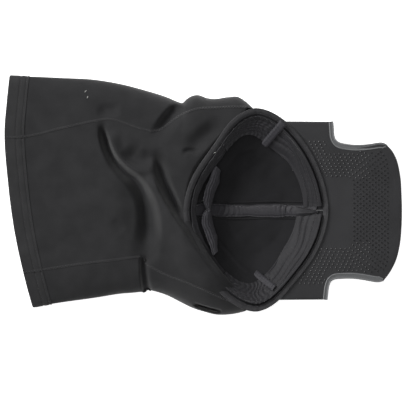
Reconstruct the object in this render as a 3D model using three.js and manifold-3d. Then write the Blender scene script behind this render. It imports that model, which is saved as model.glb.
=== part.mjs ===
// A soft visor cap with a long neck tube. It lies nape up with the crown pushed through, so the head
// opening faces up, the neck tube lies flat on one side and the visor on the other.
// Millimetres, +Z up. The origin is on the resting surface under the middle of the head opening.
// +X runs to the visor, and +Y to the wearer's left side. The neck tube's hem lies at -X.
import * as THREE from "three";
import { mergeVertices } from "three/addons/utils/BufferGeometryUtils.js";
import Module from "manifold-3d";

const wasm = await Module();
wasm.setup();

// ---- Driving dimensions -------------------------------------------------------------------------
const CLEARANCE = 0.3; // gap kept between pieces that touch
const LAYER_GAP = 0.6; // and between the layers sewn inside the crown, which are curved
const CLOTH = 2.0; // stretch fleece of the neck tube and the crown
const NECK_LENGTH = 264.0; // from the hem to the middle of the head opening
const HEM_HALF_WIDTH = 123.0; // half of the tube's flat width at the hem
const FOLD_RADIUS = 5.0; // outer radius of the tube's two side folds
const HEM_WIDTH = 21.0; // turned-up hem at the neck end
const HEM_CLOTH = 3.4; // the hem is doubled, so it is thicker
const HEM_HEIGHT = 16.0; // how far the tube stands open at the hem
const SHOULDER_HEIGHT = 35.0; // and where it joins the cap
const SHOULDER_LENGTH = 190.0; // over which it climbs from one to the other
const SEAM_WIDTH = 3.0; // flat-locked seams between the neck panels
const SEAM_RAISE = 0.7;
const CHIN_PANEL_INSET = 45.0; // from each side fold to the chin panel's seam
const CHIN_EDGE_REACH = 36.0; // the chin panel's free edge, at the middle
const CHIN_EDGE_BOW = 34.0; // and how far it draws back at the sides
const EDGE_CORD_RADIUS = 1.0; // binding of that edge

const RIM_FRONT = 75.0; // the head opening, from the visor seam
const RIM_BACK = -78.0; // to the nape seam
const RIM_HALF_WIDTH = 107.0;
const RIM_POWER = 1.7; // 2 is an ellipse
const RIM_FRONT_HEIGHT = 18.0;
const RIM_RISE = 24.0; // the rim climbs by this much, far behind the front
const RIM_REACH = 110.0; // at this rate
const RIM_CORD_RADIUS = 2.2;
const CROWN_FLOOR = 5.0; // inside of the crown's flattened top
const CROWN_FLAT = 0.45; // share of the crown's radius that lies flat
const CROWN_CURVE = 1.25; // how its side rises from there
const CROWN_TIP_HALF = 7.0; // each crown half ends this wide at the front and the back

const BAND_TOP = 0.95; // sweatband's upper edge, in shares of the crown's radius
// Its lower edge: degrees from the front and share.
const BAND_FOOT = [[0, 0.66], [45, 0.7], [90, 0.75], [128, 0.84]];
const BAND_CLOTH = 1.4;
const BAND_BACK_ANGLE = 128.0; // degrees from the front, where the gathered back section starts
const BACK_WAIST = [0.97, 0.92]; // the back section narrows to this at the nape
const BAND_FRONT_GAP = 5.0; // degrees from the front, where each smooth half starts
const JOIN_GAP = 1.5; // degrees between a smooth half and the piece over the front join
const TAPE_WIDTH = 12.0;
const TAPE_CLOTH = 0.8;
const TAPE_SHARE = 0.93; // how far the tape runs up the crown's side
const TAB_WIDTH = 8.0;
const TAB_CLOTH = 1.0;
const TAB_SHARES = [0.97, 0.7]; // from the rim down to its free end
const TAB_ANGLE = 65.0; // degrees from the front, at the rim
const TAB_LEAN = 16.0; // and how far its foot leans back
const ELASTIC_ANGLE = 143.0; // degrees from the front, where the nape elastic is sewn on
const ELASTIC_ENDS = [0.9, 0.77]; // its edges there, in shares of the crown's radius
const ELASTIC_WAIST = [0.79, 0.72]; // and at the nape, where the pull draws it in
const ELASTIC_CLOTH = 2.4;

const VISOR_CLOTH = 0.8; // each face of the visor
const VISOR_FOAM = 1.4;
const VISOR_SLOPE = 10.0; // degrees, down to the tip
const VISOR_MIDDLE = -1.0; // its centre line lies this far off the cap's
const ROOT_INSET = 14.0; // the fixed part's sides leave the rim this far inside its widest point
const ROOT_LENGTH = 6.5; // from the rim's front to the fold line, where the side notches start
const ROOT_FOLD_GAP = 3.0; // the fixed part stops this far behind it
const TONGUE_FOLD_GAP = 0.4; // and the tongue starts this far in front of it
const TONGUE_HALF = 72.0;
const TONGUE_WAIST = 2.5; // its sides draw in this far
const TONGUE_SIDE = 52.0; // from the fold line to where its rounded front starts
const TONGUE_BOW = 19.5; // and from there to its tip
const BINDING_WIDTH = 5.0;
const BINDING_CLOTH = 4.4;

// Outlines of the neck tube, as seen from above. A place along it runs from 0 at the hem to 1 at the
// middle of the head opening. A place across is a share of the half width there, which goes from the
// hem's to the head opening's.
const LEFT_SIDE = [
  [0, 1.163], [0.21, 1.175], [0.45, 1.149], [0.69, 1.036], [0.77, 1.084], [0.89, 1.075], [1.04, 1.006],
];
const RIGHT_SIDE = [
  [0.09, -0.847], [0.33, -0.795], [0.57, -0.747], [0.69, -0.866], [0.85, -1.005], [1.04, -0.978],
];
// The two seams on the upper layer, which bound the nape panel.
const LEFT_SEAM = [
  [0, 0.618], [0.21, 0.719], [0.43, 0.81], [0.58, 0.738], [0.73, 0.934], [0.89, 0.993], [1.04, 0.977],
];
const RIGHT_SEAM = [
  [0.05, -0.548], [0.29, -0.482], [0.54, -0.446], [0.61, -0.548], [0.79, -0.734], [0.95, -0.928],
];
// The hem's edge, from the right side to the left: a place across and a place along.
const HEM_EDGE = [[-0.84, 0.1], [-0.33, 0.045], [0.24, 0.004], [0.72, -0.009], [1.16, 0.004]];

// ---- Plan and heights ---------------------------------------------------------------------------
const { abs, asin, cos, hypot, min, max, sign, sin, tan, PI } = Math;
const DEGREE = PI / 180;
const mix = (a, b, t) => a + (b - a) * t;
const clamp = (t) => min(1, max(0, t));
const ease = (t) => clamp(t) ** 2 * (3 - 2 * clamp(t));
const vector = (x, y, z) => new THREE.Vector3(x, y, z);

// A smooth value over a list of [place, value] pairs, level past both ends.
function profile(pairs) {
  const slopes = pairs.map((pair, i) => {
    const before = pairs[max(0, i - 1)];
    const after = pairs[min(pairs.length - 1, i + 1)];
    return (after[1] - before[1]) / (after[0] - before[0]);
  });
  return (place) => {
    if (place <= pairs[0][0]) return pairs[0][1];
    const i = pairs.findIndex((pair) => pair[0] > place);
    if (i < 0) return pairs.at(-1)[1];
    const [from, low] = pairs[i - 1];
    const [to, high] = pairs[i];
    const t = (place - from) / (to - from);
    const start = slopes[i - 1] * (to - from) - (high - low);
    const end = (high - low) - slopes[i] * (to - from);
    return mix(low, high, t) + t * (1 - t) * mix(start, end, t);
  };
}

// A line along the tube, as a Y for each X.
function lengthwise(pairs) {
  const across = profile(pairs);
  return (x) => {
    const along = 1 + x / NECK_LENGTH;
    return across(along) * mix(HEM_HALF_WIDTH, RIM_HALF_WIDTH, along);
  };
}
const leftSide = lengthwise(LEFT_SIDE);
const rightSide = lengthwise(RIGHT_SIDE);
const leftSeam = lengthwise(LEFT_SEAM);
const rightSeam = lengthwise(RIGHT_SEAM);
const hemProfile = profile(HEM_EDGE);
const hemEdge = (y) => NECK_LENGTH * (hemProfile(y / HEM_HALF_WIDTH) - 1);
const hemInner = (y) => hemEdge(y) + HEM_WIDTH;
const chinEdge = (y) => CHIN_EDGE_REACH - CHIN_EDGE_BOW * clamp(abs(y) / RIM_HALF_WIDTH) ** 2;

// The rim is a rounded oval whose height climbs towards the back.
const RIM_CENTRE = (RIM_FRONT + RIM_BACK) / 2;
const RIM_HALF_LENGTH = (RIM_FRONT - RIM_BACK) / 2;
const rimHeight = (x) => RIM_FRONT_HEIGHT + RIM_RISE * (1 - Math.exp((x - RIM_FRONT) / RIM_REACH));
const rounded = (value) => sign(value) * abs(value) ** (2 / RIM_POWER);
function rimPoint(angle, inset = 0) {
  const x = RIM_CENTRE + (RIM_HALF_LENGTH - inset) * rounded(cos(angle));
  const y = (RIM_HALF_WIDTH - inset) * rounded(sin(angle));
  return vector(x, y, rimHeight(x));
}

// The crown's inner face, as a height over the plan. A share is 0 at its middle and 1 at its edge.
const CROWN_LEAN = 0.7; // the sloping cloth's underside reaches out by up to this share of its thickness
const CROWN_INSET = 2 * RIM_CORD_RADIUS + CROWN_LEAN * CLOTH + CLEARANCE;
const CROWN_HALF_LENGTH = RIM_HALF_LENGTH - CROWN_INSET;
const CROWN_HALF_WIDTH = RIM_HALF_WIDTH - CROWN_INSET;
function crownShare(x, y) {
  const along = abs((x - RIM_CENTRE) / CROWN_HALF_LENGTH) ** RIM_POWER;
  const across = abs(y / CROWN_HALF_WIDTH) ** RIM_POWER;
  return (along + across) ** (1 / RIM_POWER);
}
function crownHeight(x, y) {
  const share = crownShare(x, y);
  const edge = rimHeight(RIM_CENTRE + (x - RIM_CENTRE) / max(share, 0.1));
  const climb = clamp((share - CROWN_FLAT) / (1 - CROWN_FLAT)) ** CROWN_CURVE;
  return mix(CROWN_FLOOR, edge, climb);
}
function onCrown(x, y, lift) {
  const step = 0.5;
  const slopeX = (crownHeight(x + step, y) - crownHeight(x - step, y)) / (2 * step);
  const slopeY = (crownHeight(x, y + step) - crownHeight(x, y - step)) / (2 * step);
  const upright = vector(-slopeX, -slopeY, 1).normalize();
  return vector(x, y, crownHeight(x, y)).addScaledVector(upright, lift);
}
function crownPoint(angle, share, lift = 0) {
  const edge = rimPoint(angle, CROWN_INSET);
  return onCrown(mix(RIM_CENTRE, edge.x, share), edge.y * share, lift);
}

// The neck tube's outside: the upper layer is highest in the middle, and both sides are rounded folds.
function tubeTop(x, y) {
  const height = mix(HEM_HEIGHT, SHOULDER_HEIGHT, ease((x + NECK_LENGTH) / SHOULDER_LENGTH));
  const middle = (leftSide(x) + rightSide(x)) / 2;
  const half = (leftSide(x) - rightSide(x)) / 2;
  const rise = Math.sqrt(max(0, 1 - abs((y - middle) / half) ** 4));
  return vector(x, y, FOLD_RADIUS + (height - FOLD_RADIUS) * rise);
}

// One cross-section of the tube on one side: from its upper seam, round the fold, to the chin seam.
const ABOVE = 0.45; // share of the section above the fold
const ROUND = 0.75; // and the share where the fold ends
function sideSection(way, x, t) {
  const reach = way > 0 ? leftSide(x) : rightSide(x);
  const seam = way > 0 ? leftSeam(x) : rightSeam(x);
  const middle = (leftSide(x) + rightSide(x)) / 2;
  const half = abs(reach - middle);
  if (t <= ABOVE) {
    const from = asin(clamp((way * (seam - middle) + SEAM_WIDTH / 2) / half));
    return tubeTop(x, middle + way * half * sin(mix(from, PI / 2, t / ABOVE)));
  }
  if (t <= ROUND) {
    const turn = (PI / 2) * ((t - ABOVE) / (ROUND - ABOVE));
    return vector(x, reach - way * FOLD_RADIUS * (1 - cos(turn)), FOLD_RADIUS * (1 - sin(turn)));
  }
  const inner = CHIN_PANEL_INSET - SEAM_WIDTH / 2;
  return vector(x, reach - way * mix(FOLD_RADIUS, inner, (t - ROUND) / (1 - ROUND)), 0);
}

const VISOR_ROOT_HALF = RIM_HALF_WIDTH - ROOT_INSET;
const VISOR_FOLD = RIM_FRONT + ROOT_LENGTH;
const TONGUE_SHOULDER = VISOR_FOLD + TONGUE_SIDE;
const TONGUE_TIP = TONGUE_SHOULDER + TONGUE_BOW;
const visorTop = (x) => RIM_FRONT_HEIGHT - (x - RIM_FRONT) * tan(VISOR_SLOPE * DEGREE);
const VISOR_THICKNESS = 2 * VISOR_CLOTH + VISOR_FOAM + 2 * CLEARANCE;

// ---- Solids -------------------------------------------------------------------------------------
// A sheet of cloth: a segmented box bent onto surface(u, v), with its thickness behind that face.
// A raised sheet stands proud of it by that much.
function sheet(surface, stepsU, stepsV, thickness, raised = 0) {
  const geometry = new THREE.BoxGeometry(1, 1, 1, stepsU, stepsV, 1);
  const position = geometry.getAttribute("position");
  const small = 1e-3;
  for (let i = 0; i < position.count; i += 1) {
    const u = position.getX(i) + 0.5;
    const v = position.getY(i) + 0.5;
    const depth = (0.5 - position.getZ(i)) * thickness - raised;
    const point = surface(u, v);
    const alongU = surface(min(1, u + small), v).sub(surface(max(0, u - small), v));
    const alongV = surface(u, min(1, v + small)).sub(surface(u, max(0, v - small)));
    const normal = alongU.cross(alongV).normalize();
    point.addScaledVector(normal, -depth);
    position.setXYZ(i, point.x, point.y, point.z);
  }
  return geometry;
}

// A cord along a list of points.
function cord(points, radius, steps, sides = 8) {
  const section = new THREE.Shape();
  section.absarc(0, 0, radius, 0, 2 * PI);
  const extrudePath = new THREE.CatmullRomCurve3(points);
  return new THREE.ExtrudeGeometry(section, { steps, extrudePath, curveSegments: sides });
}

// A closed cord along path(angle), which goes once round the Z axis.
function closedCord(path, radius, steps, sides = 8) {
  const geometry = new THREE.TorusGeometry(1, 0.5, sides, steps);
  const position = geometry.getAttribute("position");
  const uv = geometry.getAttribute("uv");
  for (let i = 0; i < position.count; i += 1) {
    const angle = 2 * PI * (uv.getX(i) % 1);
    const turn = 2 * PI * (uv.getY(i) % 1);
    const centre = path(angle);
    const ahead = path(angle + 0.01).sub(path(angle - 0.01)).normalize();
    const outward = vector(ahead.y, -ahead.x, 0).normalize();
    centre.addScaledVector(outward, radius * cos(turn));
    centre.z += radius * sin(turn);
    position.setXYZ(i, centre.x, centre.y, centre.z);
  }
  return geometry;
}

// A flat plate from an outline over X and Y, which follows the visor's slope.
function visorPlate(outline, topGap, thickness) {
  const geometry = new THREE.ExtrudeGeometry(outline, { depth: thickness, bevelEnabled: false });
  const position = geometry.getAttribute("position");
  for (let i = 0; i < position.count; i += 1) {
    const low = visorTop(position.getX(i)) - topGap - thickness;
    position.setZ(i, low + position.getZ(i));
  }
  return geometry;
}

// Boolean work: a geometry becomes a solid and back.
function solid(geometry) {
  const bare = geometry.clone();
  bare.deleteAttribute("normal");
  bare.deleteAttribute("uv");
  const merged = mergeVertices(bare, 1e-4);
  const vertProperties = new Float32Array(merged.attributes.position.array);
  const triVerts = new Uint32Array(merged.index.array);
  return new wasm.Manifold(new wasm.Mesh({ numProp: 3, vertProperties, triVerts }));
}
function cutAway(geometry, tool) {
  const { vertProperties, triVerts } = solid(geometry).subtract(solid(tool)).getMesh();
  const result = new THREE.BufferGeometry();
  result.setAttribute("position", new THREE.BufferAttribute(vertProperties, 3));
  result.setIndex(new THREE.BufferAttribute(triVerts, 1));
  result.computeVertexNormals();
  return result;
}

// The space that the cap takes out of the neck tube's upper layer.
const RIM_STEPS = 64;
function capSpace() {
  const outline = new THREE.Shape();
  for (let i = 0; i < RIM_STEPS; i += 1) {
    const point = rimPoint((2 * PI * i) / RIM_STEPS, -CLEARANCE);
    if (i === 0) outline.moveTo(point.x, point.y);
    else outline.lineTo(point.x, point.y);
  }
  const depth = 2 * SHOULDER_HEIGHT;
  const geometry = new THREE.ExtrudeGeometry(outline, { depth, bevelEnabled: false });
  return geometry.translate(0, 0, CLOTH + CLEARANCE);
}

// ---- Materials ----------------------------------------------------------------------------------
const paint = (color, roughness) => new THREE.MeshStandardMaterial({ color, roughness, metalness: 0 });
const fleece = paint(0x2c2c2f, 0.95);
const lining = paint(0x2f2e34, 0.9);
const ribbon = paint(0x3b3942, 0.75);
const visorKnit = paint(0x333336, 0.9);
const foam = paint(0x1f1f21, 0.95);
const greyBinding = paint(0x7c8083, 0.6);

const hood = new THREE.Group();
const tongue = new THREE.Group();
function add(group, name, geometry, material) {
  const mesh = new THREE.Mesh(geometry, material);
  mesh.name = name;
  group.add(mesh);
}

// ---- Neck tube ----------------------------------------------------------------------------------
// A strip of the tube from one edge over Y to another, along a section that depends on X.
function strip(section, start, end) {
  return (u, v) => {
    let point = vector(0, 0, 0);
    const rounds = 4; // X depends on Y and Y on X, so both are found in turn
    for (let i = 0; i < rounds; i += 1) point = section(mix(start(point.y), end(point.y), u), v);
    return point;
  };
}

const HALF_SEAM = SEAM_WIDTH / 2;
const PANEL_STEPS = 24; // the same along every strip, so that their facets match
const panelStart = (y) => hemInner(y) + CLEARANCE;
const cap = capSpace();
const napeSection = (x, t) => tubeTop(x, mix(rightSeam(x) + HALF_SEAM, leftSeam(x) - HALF_SEAM, t));
const napePanel = sheet(strip(napeSection, panelStart, chinEdge), PANEL_STEPS, 12, CLOTH);
add(hood, "nape_panel", cutAway(napePanel, cap), fleece);

const hands = [["left", 1], ["right", -1]];
for (const [hand, way] of hands) {
  // The section runs the other way on the right, so that the outside stays outside.
  const section = (x, t) => sideSection(way, x, way > 0 ? t : 1 - t);
  const panel = sheet(strip(section, panelStart, chinEdge), PANEL_STEPS, 14, CLOTH);
  add(hood, `side_panel_${hand}`, cutAway(panel, cap), fleece);

  const seamHalf = HALF_SEAM - CLEARANCE;
  const seam = way > 0 ? leftSeam : rightSeam;
  const upper = (x, t) => tubeTop(x, seam(x) + mix(-seamHalf, seamHalf, t));
  const seamStrip = strip(upper, panelStart, chinEdge);
  const napeSeam = sheet(seamStrip, PANEL_STEPS, 1, CLOTH + SEAM_RAISE, SEAM_RAISE);
  add(hood, `nape_seam_${hand}`, cutAway(napeSeam, cap), ribbon);

  const side = way > 0 ? leftSide : rightSide;
  const lower = (x, t) => vector(x, side(x) - way * CHIN_PANEL_INSET - mix(-seamHalf, seamHalf, t), 0);
  add(hood, `chin_seam_${hand}`, sheet(strip(lower, panelStart, chinEdge), PANEL_STEPS, 1, CLOTH), ribbon);
}

const chinReach = (x, way) => (way > 0 ? leftSide(x) : rightSide(x)) - way * (CHIN_PANEL_INSET + HALF_SEAM);
const chinSection = (x, t) => vector(x, mix(chinReach(x, 1), chinReach(x, -1), t), 0);
add(hood, "chin_panel", sheet(strip(chinSection, panelStart, chinEdge), PANEL_STEPS, 6, CLOTH), fleece);

// The chin panel's bound free edge lies just past the cloth.
const CHIN_EDGE_STEPS = 12;
const edgePoints = [];
for (let i = 0; i <= CHIN_EDGE_STEPS; i += 1) {
  const margin = 0.06; // the binding stops short of both side folds by this share
  const y = mix(rightSide(0), leftSide(0), mix(margin, 1 - margin, i / CHIN_EDGE_STEPS));
  const slope = (chinEdge(y + 1) - chinEdge(y - 1)) / 2;
  const ahead = (EDGE_CORD_RADIUS + 2 * CLEARANCE) * hypot(1, slope);
  edgePoints.push(vector(chinEdge(y) + ahead, y, EDGE_CORD_RADIUS));
}
add(hood, "chin_edge", cord(edgePoints, EDGE_CORD_RADIUS, 24, 4), ribbon);

// The hem is in two lengths, which meet at the two upper seams.
const hemGap = CLEARANCE / 2;
const hemUpper = (x, t) => tubeTop(x, mix(rightSeam(x) + hemGap, leftSeam(x) - hemGap, t));
add(hood, "neck_hem_nape", sheet(strip(hemUpper, hemEdge, hemInner), 2, 14, HEM_CLOTH), fleece);
// Round the front: down the left side, along the bottom and up the right side.
const TURN = 0.36; // share of this length on each side
function hemFront(x, t) {
  if (t < TURN) return sideSection(1, x, t / TURN);
  if (t > 1 - TURN) return sideSection(-1, x, (1 - t) / TURN);
  const left = sideSection(1, x, 1).y;
  const right = sideSection(-1, x, 1).y;
  return vector(x, mix(left, right, (t - TURN) / (1 - 2 * TURN)), 0);
}
add(hood, "neck_hem_front", sheet(strip(hemFront, hemEdge, hemInner), 2, 50, HEM_CLOTH), fleece);

// ---- Crown --------------------------------------------------------------------------------------
const rimPath = (angle) => rimPoint(angle, RIM_CORD_RADIUS);
add(hood, "crown_rim_cord", closedCord(rimPath, RIM_CORD_RADIUS, RIM_STEPS), ribbon);

for (const [hand, way] of hands) {
  const tip = asin((CROWN_TIP_HALF / CROWN_HALF_WIDTH) ** (RIM_POWER / 2));
  const half = (u, v) => {
    const angle = way > 0 ? mix(PI - tip, tip, u) : mix(tip, PI - tip, u);
    const edge = rimPoint(angle, CROWN_INSET);
    const x = edge.x;
    const y = way * mix(CLEARANCE / 2, edge.y, v);
    return vector(x, y, crownHeight(x, y));
  };
  add(hood, `crown_${hand}_half`, sheet(half, 22, 14, CLOTH), lining);
}

// A lift above the crown's inner face for each layer that is sewn inside it.
const tapeLift = LAYER_GAP + TAPE_CLOTH;
const bandLift = tapeLift + LAYER_GAP + BAND_CLOTH;
const elasticLift = bandLift + LAYER_GAP + ELASTIC_CLOTH;
const tabLift = bandLift + LAYER_GAP + TAB_CLOTH;

const tapeEnd = TAPE_SHARE * CROWN_HALF_LENGTH;
const tape = (u, v) => {
  const x = RIM_CENTRE + mix(-tapeEnd, tapeEnd, u);
  const y = mix(-TAPE_WIDTH / 2, TAPE_WIDTH / 2, v);
  return vector(x, y, crownHeight(x, y) + tapeLift);
};
add(hood, "crown_seam_tape", sheet(tape, 24, 2, TAPE_CLOTH), ribbon);

// ---- Sweatband ----------------------------------------------------------------------------------
// A band inside the crown, between two angles in degrees. Its edges(v) are shares of the crown's radius.
function band(fromDegrees, toDegrees, edges, lift) {
  return (u, v) => {
    const [top, foot] = edges(v);
    return crownPoint(mix(fromDegrees, toDegrees, v) * DEGREE, mix(foot, top, u), lift);
  };
}
// Edges that go from the same place at both ends to another in the middle.
function waisted(ends, waist) {
  return (v) => {
    const share = ease(abs(2 * v - 1));
    return [mix(waist[0], ends[0], share), mix(waist[1], ends[1], share)];
  };
}
const footAt = profile(BAND_FOOT);
const smoothEnds = [[BAND_FRONT_GAP, BAND_BACK_ANGLE], [-BAND_BACK_ANGLE, -BAND_FRONT_GAP]];
smoothEnds.forEach(([from, to], i) => {
  const edges = (v) => [BAND_TOP, footAt(abs(mix(from, to, v)))];
  const smooth = sheet(band(from, to, edges, bandLift), 4, 24, BAND_CLOTH);
  add(hood, `sweatband_${hands[i][0]}`, smooth, ribbon);
});
const BACK_GAP = 1.0; // degrees between the smooth and the gathered lengths
const backStart = BAND_BACK_ANGLE + BACK_GAP;
const backEdges = waisted([BAND_TOP, footAt(BAND_BACK_ANGLE)], BACK_WAIST);
const backBand = band(backStart, 360 - backStart, backEdges, bandLift);
add(hood, "sweatband_back", sheet(backBand, 4, 20, BAND_CLOTH), ribbon);
const elasticEdges = waisted(ELASTIC_ENDS, ELASTIC_WAIST);
const elastic = band(ELASTIC_ANGLE, 360 - ELASTIC_ANGLE, elasticEdges, elasticLift);
add(hood, "nape_elastic", sheet(elastic, 2, 20, ELASTIC_CLOTH), ribbon);
const joinAngle = BAND_FRONT_GAP - JOIN_GAP;
const join = band(-joinAngle, joinAngle, () => [BAND_TOP, footAt(0)], bandLift);
add(hood, "sweatband_front_join", sheet(join, 4, 2, BAND_CLOTH), ribbon);

for (const [hand, way] of hands) {
  const tabMiddle = (u) => {
    const angle = TAB_ANGLE + TAB_LEAN * (1 - u);
    return crownPoint(way * angle * DEGREE, mix(TAB_SHARES[1], TAB_SHARES[0], u));
  };
  const ahead = tabMiddle(1).sub(tabMiddle(0));
  const across = vector(-ahead.y, ahead.x, 0).normalize();
  const tab = (u, v) => {
    const point = tabMiddle(u).addScaledVector(across, mix(-0.5, 0.5, v) * TAB_WIDTH);
    return onCrown(point.x, point.y, tabLift);
  };
  add(hood, `side_tab_${hand}`, sheet(tab, 6, 2, TAB_CLOTH), ribbon);
}

// ---- Visor --------------------------------------------------------------------------------------
const rootFront = VISOR_FOLD - ROOT_FOLD_GAP;
const rootBinding = rootFront - BINDING_WIDTH;
const tongueBack = VISOR_FOLD + TONGUE_FOLD_GAP;
const notch = TONGUE_HALF - TONGUE_WAIST;

// The fixed part: between the rim and the fold, with a step at each side for the binding.
function rootOutline() {
  const outline = new THREE.Shape();
  const low = VISOR_MIDDLE - VISOR_ROOT_HALF;
  const high = VISOR_MIDDLE + VISOR_ROOT_HALF;
  const angleAt = (y) => asin(sign(y) * (abs(y) / RIM_HALF_WIDTH) ** (RIM_POWER / 2));
  const steps = 24;
  for (let i = 0; i <= steps; i += 1) {
    const point = rimPoint(mix(angleAt(high), angleAt(low), i / steps), -CLEARANCE);
    if (i === 0) outline.moveTo(point.x, high);
    else outline.lineTo(point.x, i === steps ? low : point.y);
  }
  outline.lineTo(rootBinding - CLEARANCE, low);
  outline.lineTo(rootBinding - CLEARANCE, VISOR_MIDDLE - notch);
  outline.lineTo(rootFront, VISOR_MIDDLE - notch);
  outline.lineTo(rootFront, VISOR_MIDDLE + notch);
  outline.lineTo(rootBinding - CLEARANCE, VISOR_MIDDLE + notch);
  outline.lineTo(rootBinding - CLEARANCE, high);
  return outline;
}
add(hood, "visor_root", visorPlate(rootOutline(), 0, VISOR_THICKNESS), visorKnit);

const bindingGap = (VISOR_THICKNESS - BINDING_CLOTH) / 2;
for (const [hand, way] of hands) {
  const outline = new THREE.Shape();
  const inner = VISOR_MIDDLE + way * (notch + CLEARANCE);
  const outer = VISOR_MIDDLE + way * VISOR_ROOT_HALF;
  outline.moveTo(rootBinding, inner);
  outline.lineTo(rootFront, inner);
  outline.lineTo(rootFront, outer);
  outline.lineTo(rootBinding, outer);
  add(hood, `root_binding_${hand}`, visorPlate(outline, bindingGap, BINDING_CLOTH), greyBinding);
}

// The tongue's side, which draws in a little between the fold and its rounded front.
function tongueSide(x) {
  const along = clamp((x - tongueBack) / (TONGUE_SHOULDER - tongueBack));
  return TONGUE_HALF - TONGUE_WAIST * sin(PI * along);
}
const BINDING_STEPS = 10;
function tongueOutline() {
  const outline = new THREE.Shape();
  const inset = BINDING_WIDTH + CLEARANCE;
  const side = (x) => tongueSide(x) - inset;
  const place = (i) => mix(tongueBack, TONGUE_SHOULDER, i / BINDING_STEPS);
  outline.moveTo(tongueBack, VISOR_MIDDLE - side(tongueBack));
  for (let i = 1; i <= BINDING_STEPS; i += 1) outline.lineTo(place(i), VISOR_MIDDLE - side(place(i)));
  const frontSteps = 24;
  for (let i = 0; i <= frontSteps; i += 1) {
    const angle = mix(-PI / 2, PI / 2, i / frontSteps);
    const x = TONGUE_SHOULDER + CLEARANCE + (TONGUE_TIP - TONGUE_SHOULDER - CLEARANCE) * cos(angle);
    outline.lineTo(x, VISOR_MIDDLE + TONGUE_HALF * sin(angle));
  }
  for (let i = BINDING_STEPS; i >= 0; i -= 1) outline.lineTo(place(i), VISOR_MIDDLE + side(place(i)));
  return outline;
}
const foamGap = VISOR_CLOTH + CLEARANCE;
const lowerGap = foamGap + VISOR_FOAM + CLEARANCE;
add(tongue, "visor_upper_knit", visorPlate(tongueOutline(), 0, VISOR_CLOTH), visorKnit);
add(tongue, "visor_foam", visorPlate(tongueOutline(), foamGap, VISOR_FOAM), foam);
add(tongue, "visor_lower_knit", visorPlate(tongueOutline(), lowerGap, VISOR_CLOTH), visorKnit);

for (const [hand, way] of hands) {
  const outline = new THREE.Shape();
  for (let i = 0; i <= 2 * BINDING_STEPS + 1; i += 1) {
    const outward = i <= BINDING_STEPS;
    const step = outward ? i : 2 * BINDING_STEPS + 1 - i;
    const x = mix(tongueBack, TONGUE_SHOULDER, step / BINDING_STEPS);
    const y = VISOR_MIDDLE + way * (tongueSide(x) - (outward ? 0 : BINDING_WIDTH));
    if (i === 0) outline.moveTo(x, y);
    else outline.lineTo(x, y);
  }
  add(tongue, `tongue_binding_${hand}`, visorPlate(outline, bindingGap, BINDING_CLOTH), greyBinding);
}

const object = new THREE.Group();
object.add(hood, tongue);
export default object;
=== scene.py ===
"""A black stretch hood with a visor and a neck tube. It lies flat with its head opening facing up.

Lengths in this file are millimetres in the part's own frame, and become metres when a mesh is made.
"""

import math

import bpy
import numpy as np
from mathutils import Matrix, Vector


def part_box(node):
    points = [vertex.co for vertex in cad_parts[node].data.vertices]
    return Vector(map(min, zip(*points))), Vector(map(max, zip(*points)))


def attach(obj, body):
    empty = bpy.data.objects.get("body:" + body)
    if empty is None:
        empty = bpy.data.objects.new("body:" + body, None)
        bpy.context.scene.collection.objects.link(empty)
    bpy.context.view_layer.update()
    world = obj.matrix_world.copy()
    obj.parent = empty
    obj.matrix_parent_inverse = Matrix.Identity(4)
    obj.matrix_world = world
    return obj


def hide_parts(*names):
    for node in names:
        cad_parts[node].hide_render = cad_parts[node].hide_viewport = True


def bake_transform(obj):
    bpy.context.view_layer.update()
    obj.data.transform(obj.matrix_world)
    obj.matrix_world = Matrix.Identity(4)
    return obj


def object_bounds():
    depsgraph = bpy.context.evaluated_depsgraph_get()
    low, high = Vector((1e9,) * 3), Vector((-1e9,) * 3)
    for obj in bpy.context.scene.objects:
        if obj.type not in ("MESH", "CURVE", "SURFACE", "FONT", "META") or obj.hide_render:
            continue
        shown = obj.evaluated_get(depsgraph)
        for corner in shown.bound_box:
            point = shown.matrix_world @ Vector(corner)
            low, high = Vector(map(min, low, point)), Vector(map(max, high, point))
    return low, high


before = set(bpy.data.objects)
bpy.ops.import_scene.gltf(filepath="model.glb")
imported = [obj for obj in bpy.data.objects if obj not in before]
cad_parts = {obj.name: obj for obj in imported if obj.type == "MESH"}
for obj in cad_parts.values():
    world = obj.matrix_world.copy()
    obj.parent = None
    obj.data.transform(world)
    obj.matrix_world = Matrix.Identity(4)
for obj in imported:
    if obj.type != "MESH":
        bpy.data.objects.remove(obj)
cad_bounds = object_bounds()

MM = 0.001


# ---- Curves and grids ----------------------------------------------------------------------------
def mix(a, b, t):
    return a + (b - a) * t


def ease(t):
    t = np.clip(t, 0, 1)
    return t * t * (3 - 2 * t)


def bell(value, spread):
    """1 where the value is 0, fading away on both sides of it."""
    return np.exp(-((value / spread) ** 2))


def unit(vectors):
    return vectors / np.maximum(np.linalg.norm(vectors, axis=-1, keepdims=True), 1e-9)


def spline(pairs):
    """A smooth value over places. Past either end it goes on in a straight line."""
    place, value = np.array(pairs, float).T
    slope = np.gradient(value, place)

    def at(q):
        q = np.asarray(q, float)
        i = np.clip(np.searchsorted(place, q) - 1, 0, len(place) - 2)
        step = place[i + 1] - place[i]
        t = np.clip((q - place[i]) / step, 0, 1)
        bend = (
            (2 * t**3 - 3 * t**2 + 1) * value[i]
            + (t**3 - 2 * t**2 + t) * step * slope[i]
            + (3 * t**2 - 2 * t**3) * value[i + 1]
            + (t**3 - t**2) * step * slope[i + 1]
        )
        before = np.minimum(q - place[0], 0) * slope[0]
        after = np.maximum(q - place[-1], 0) * slope[-1]
        return bend + before + after

    return at


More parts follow.
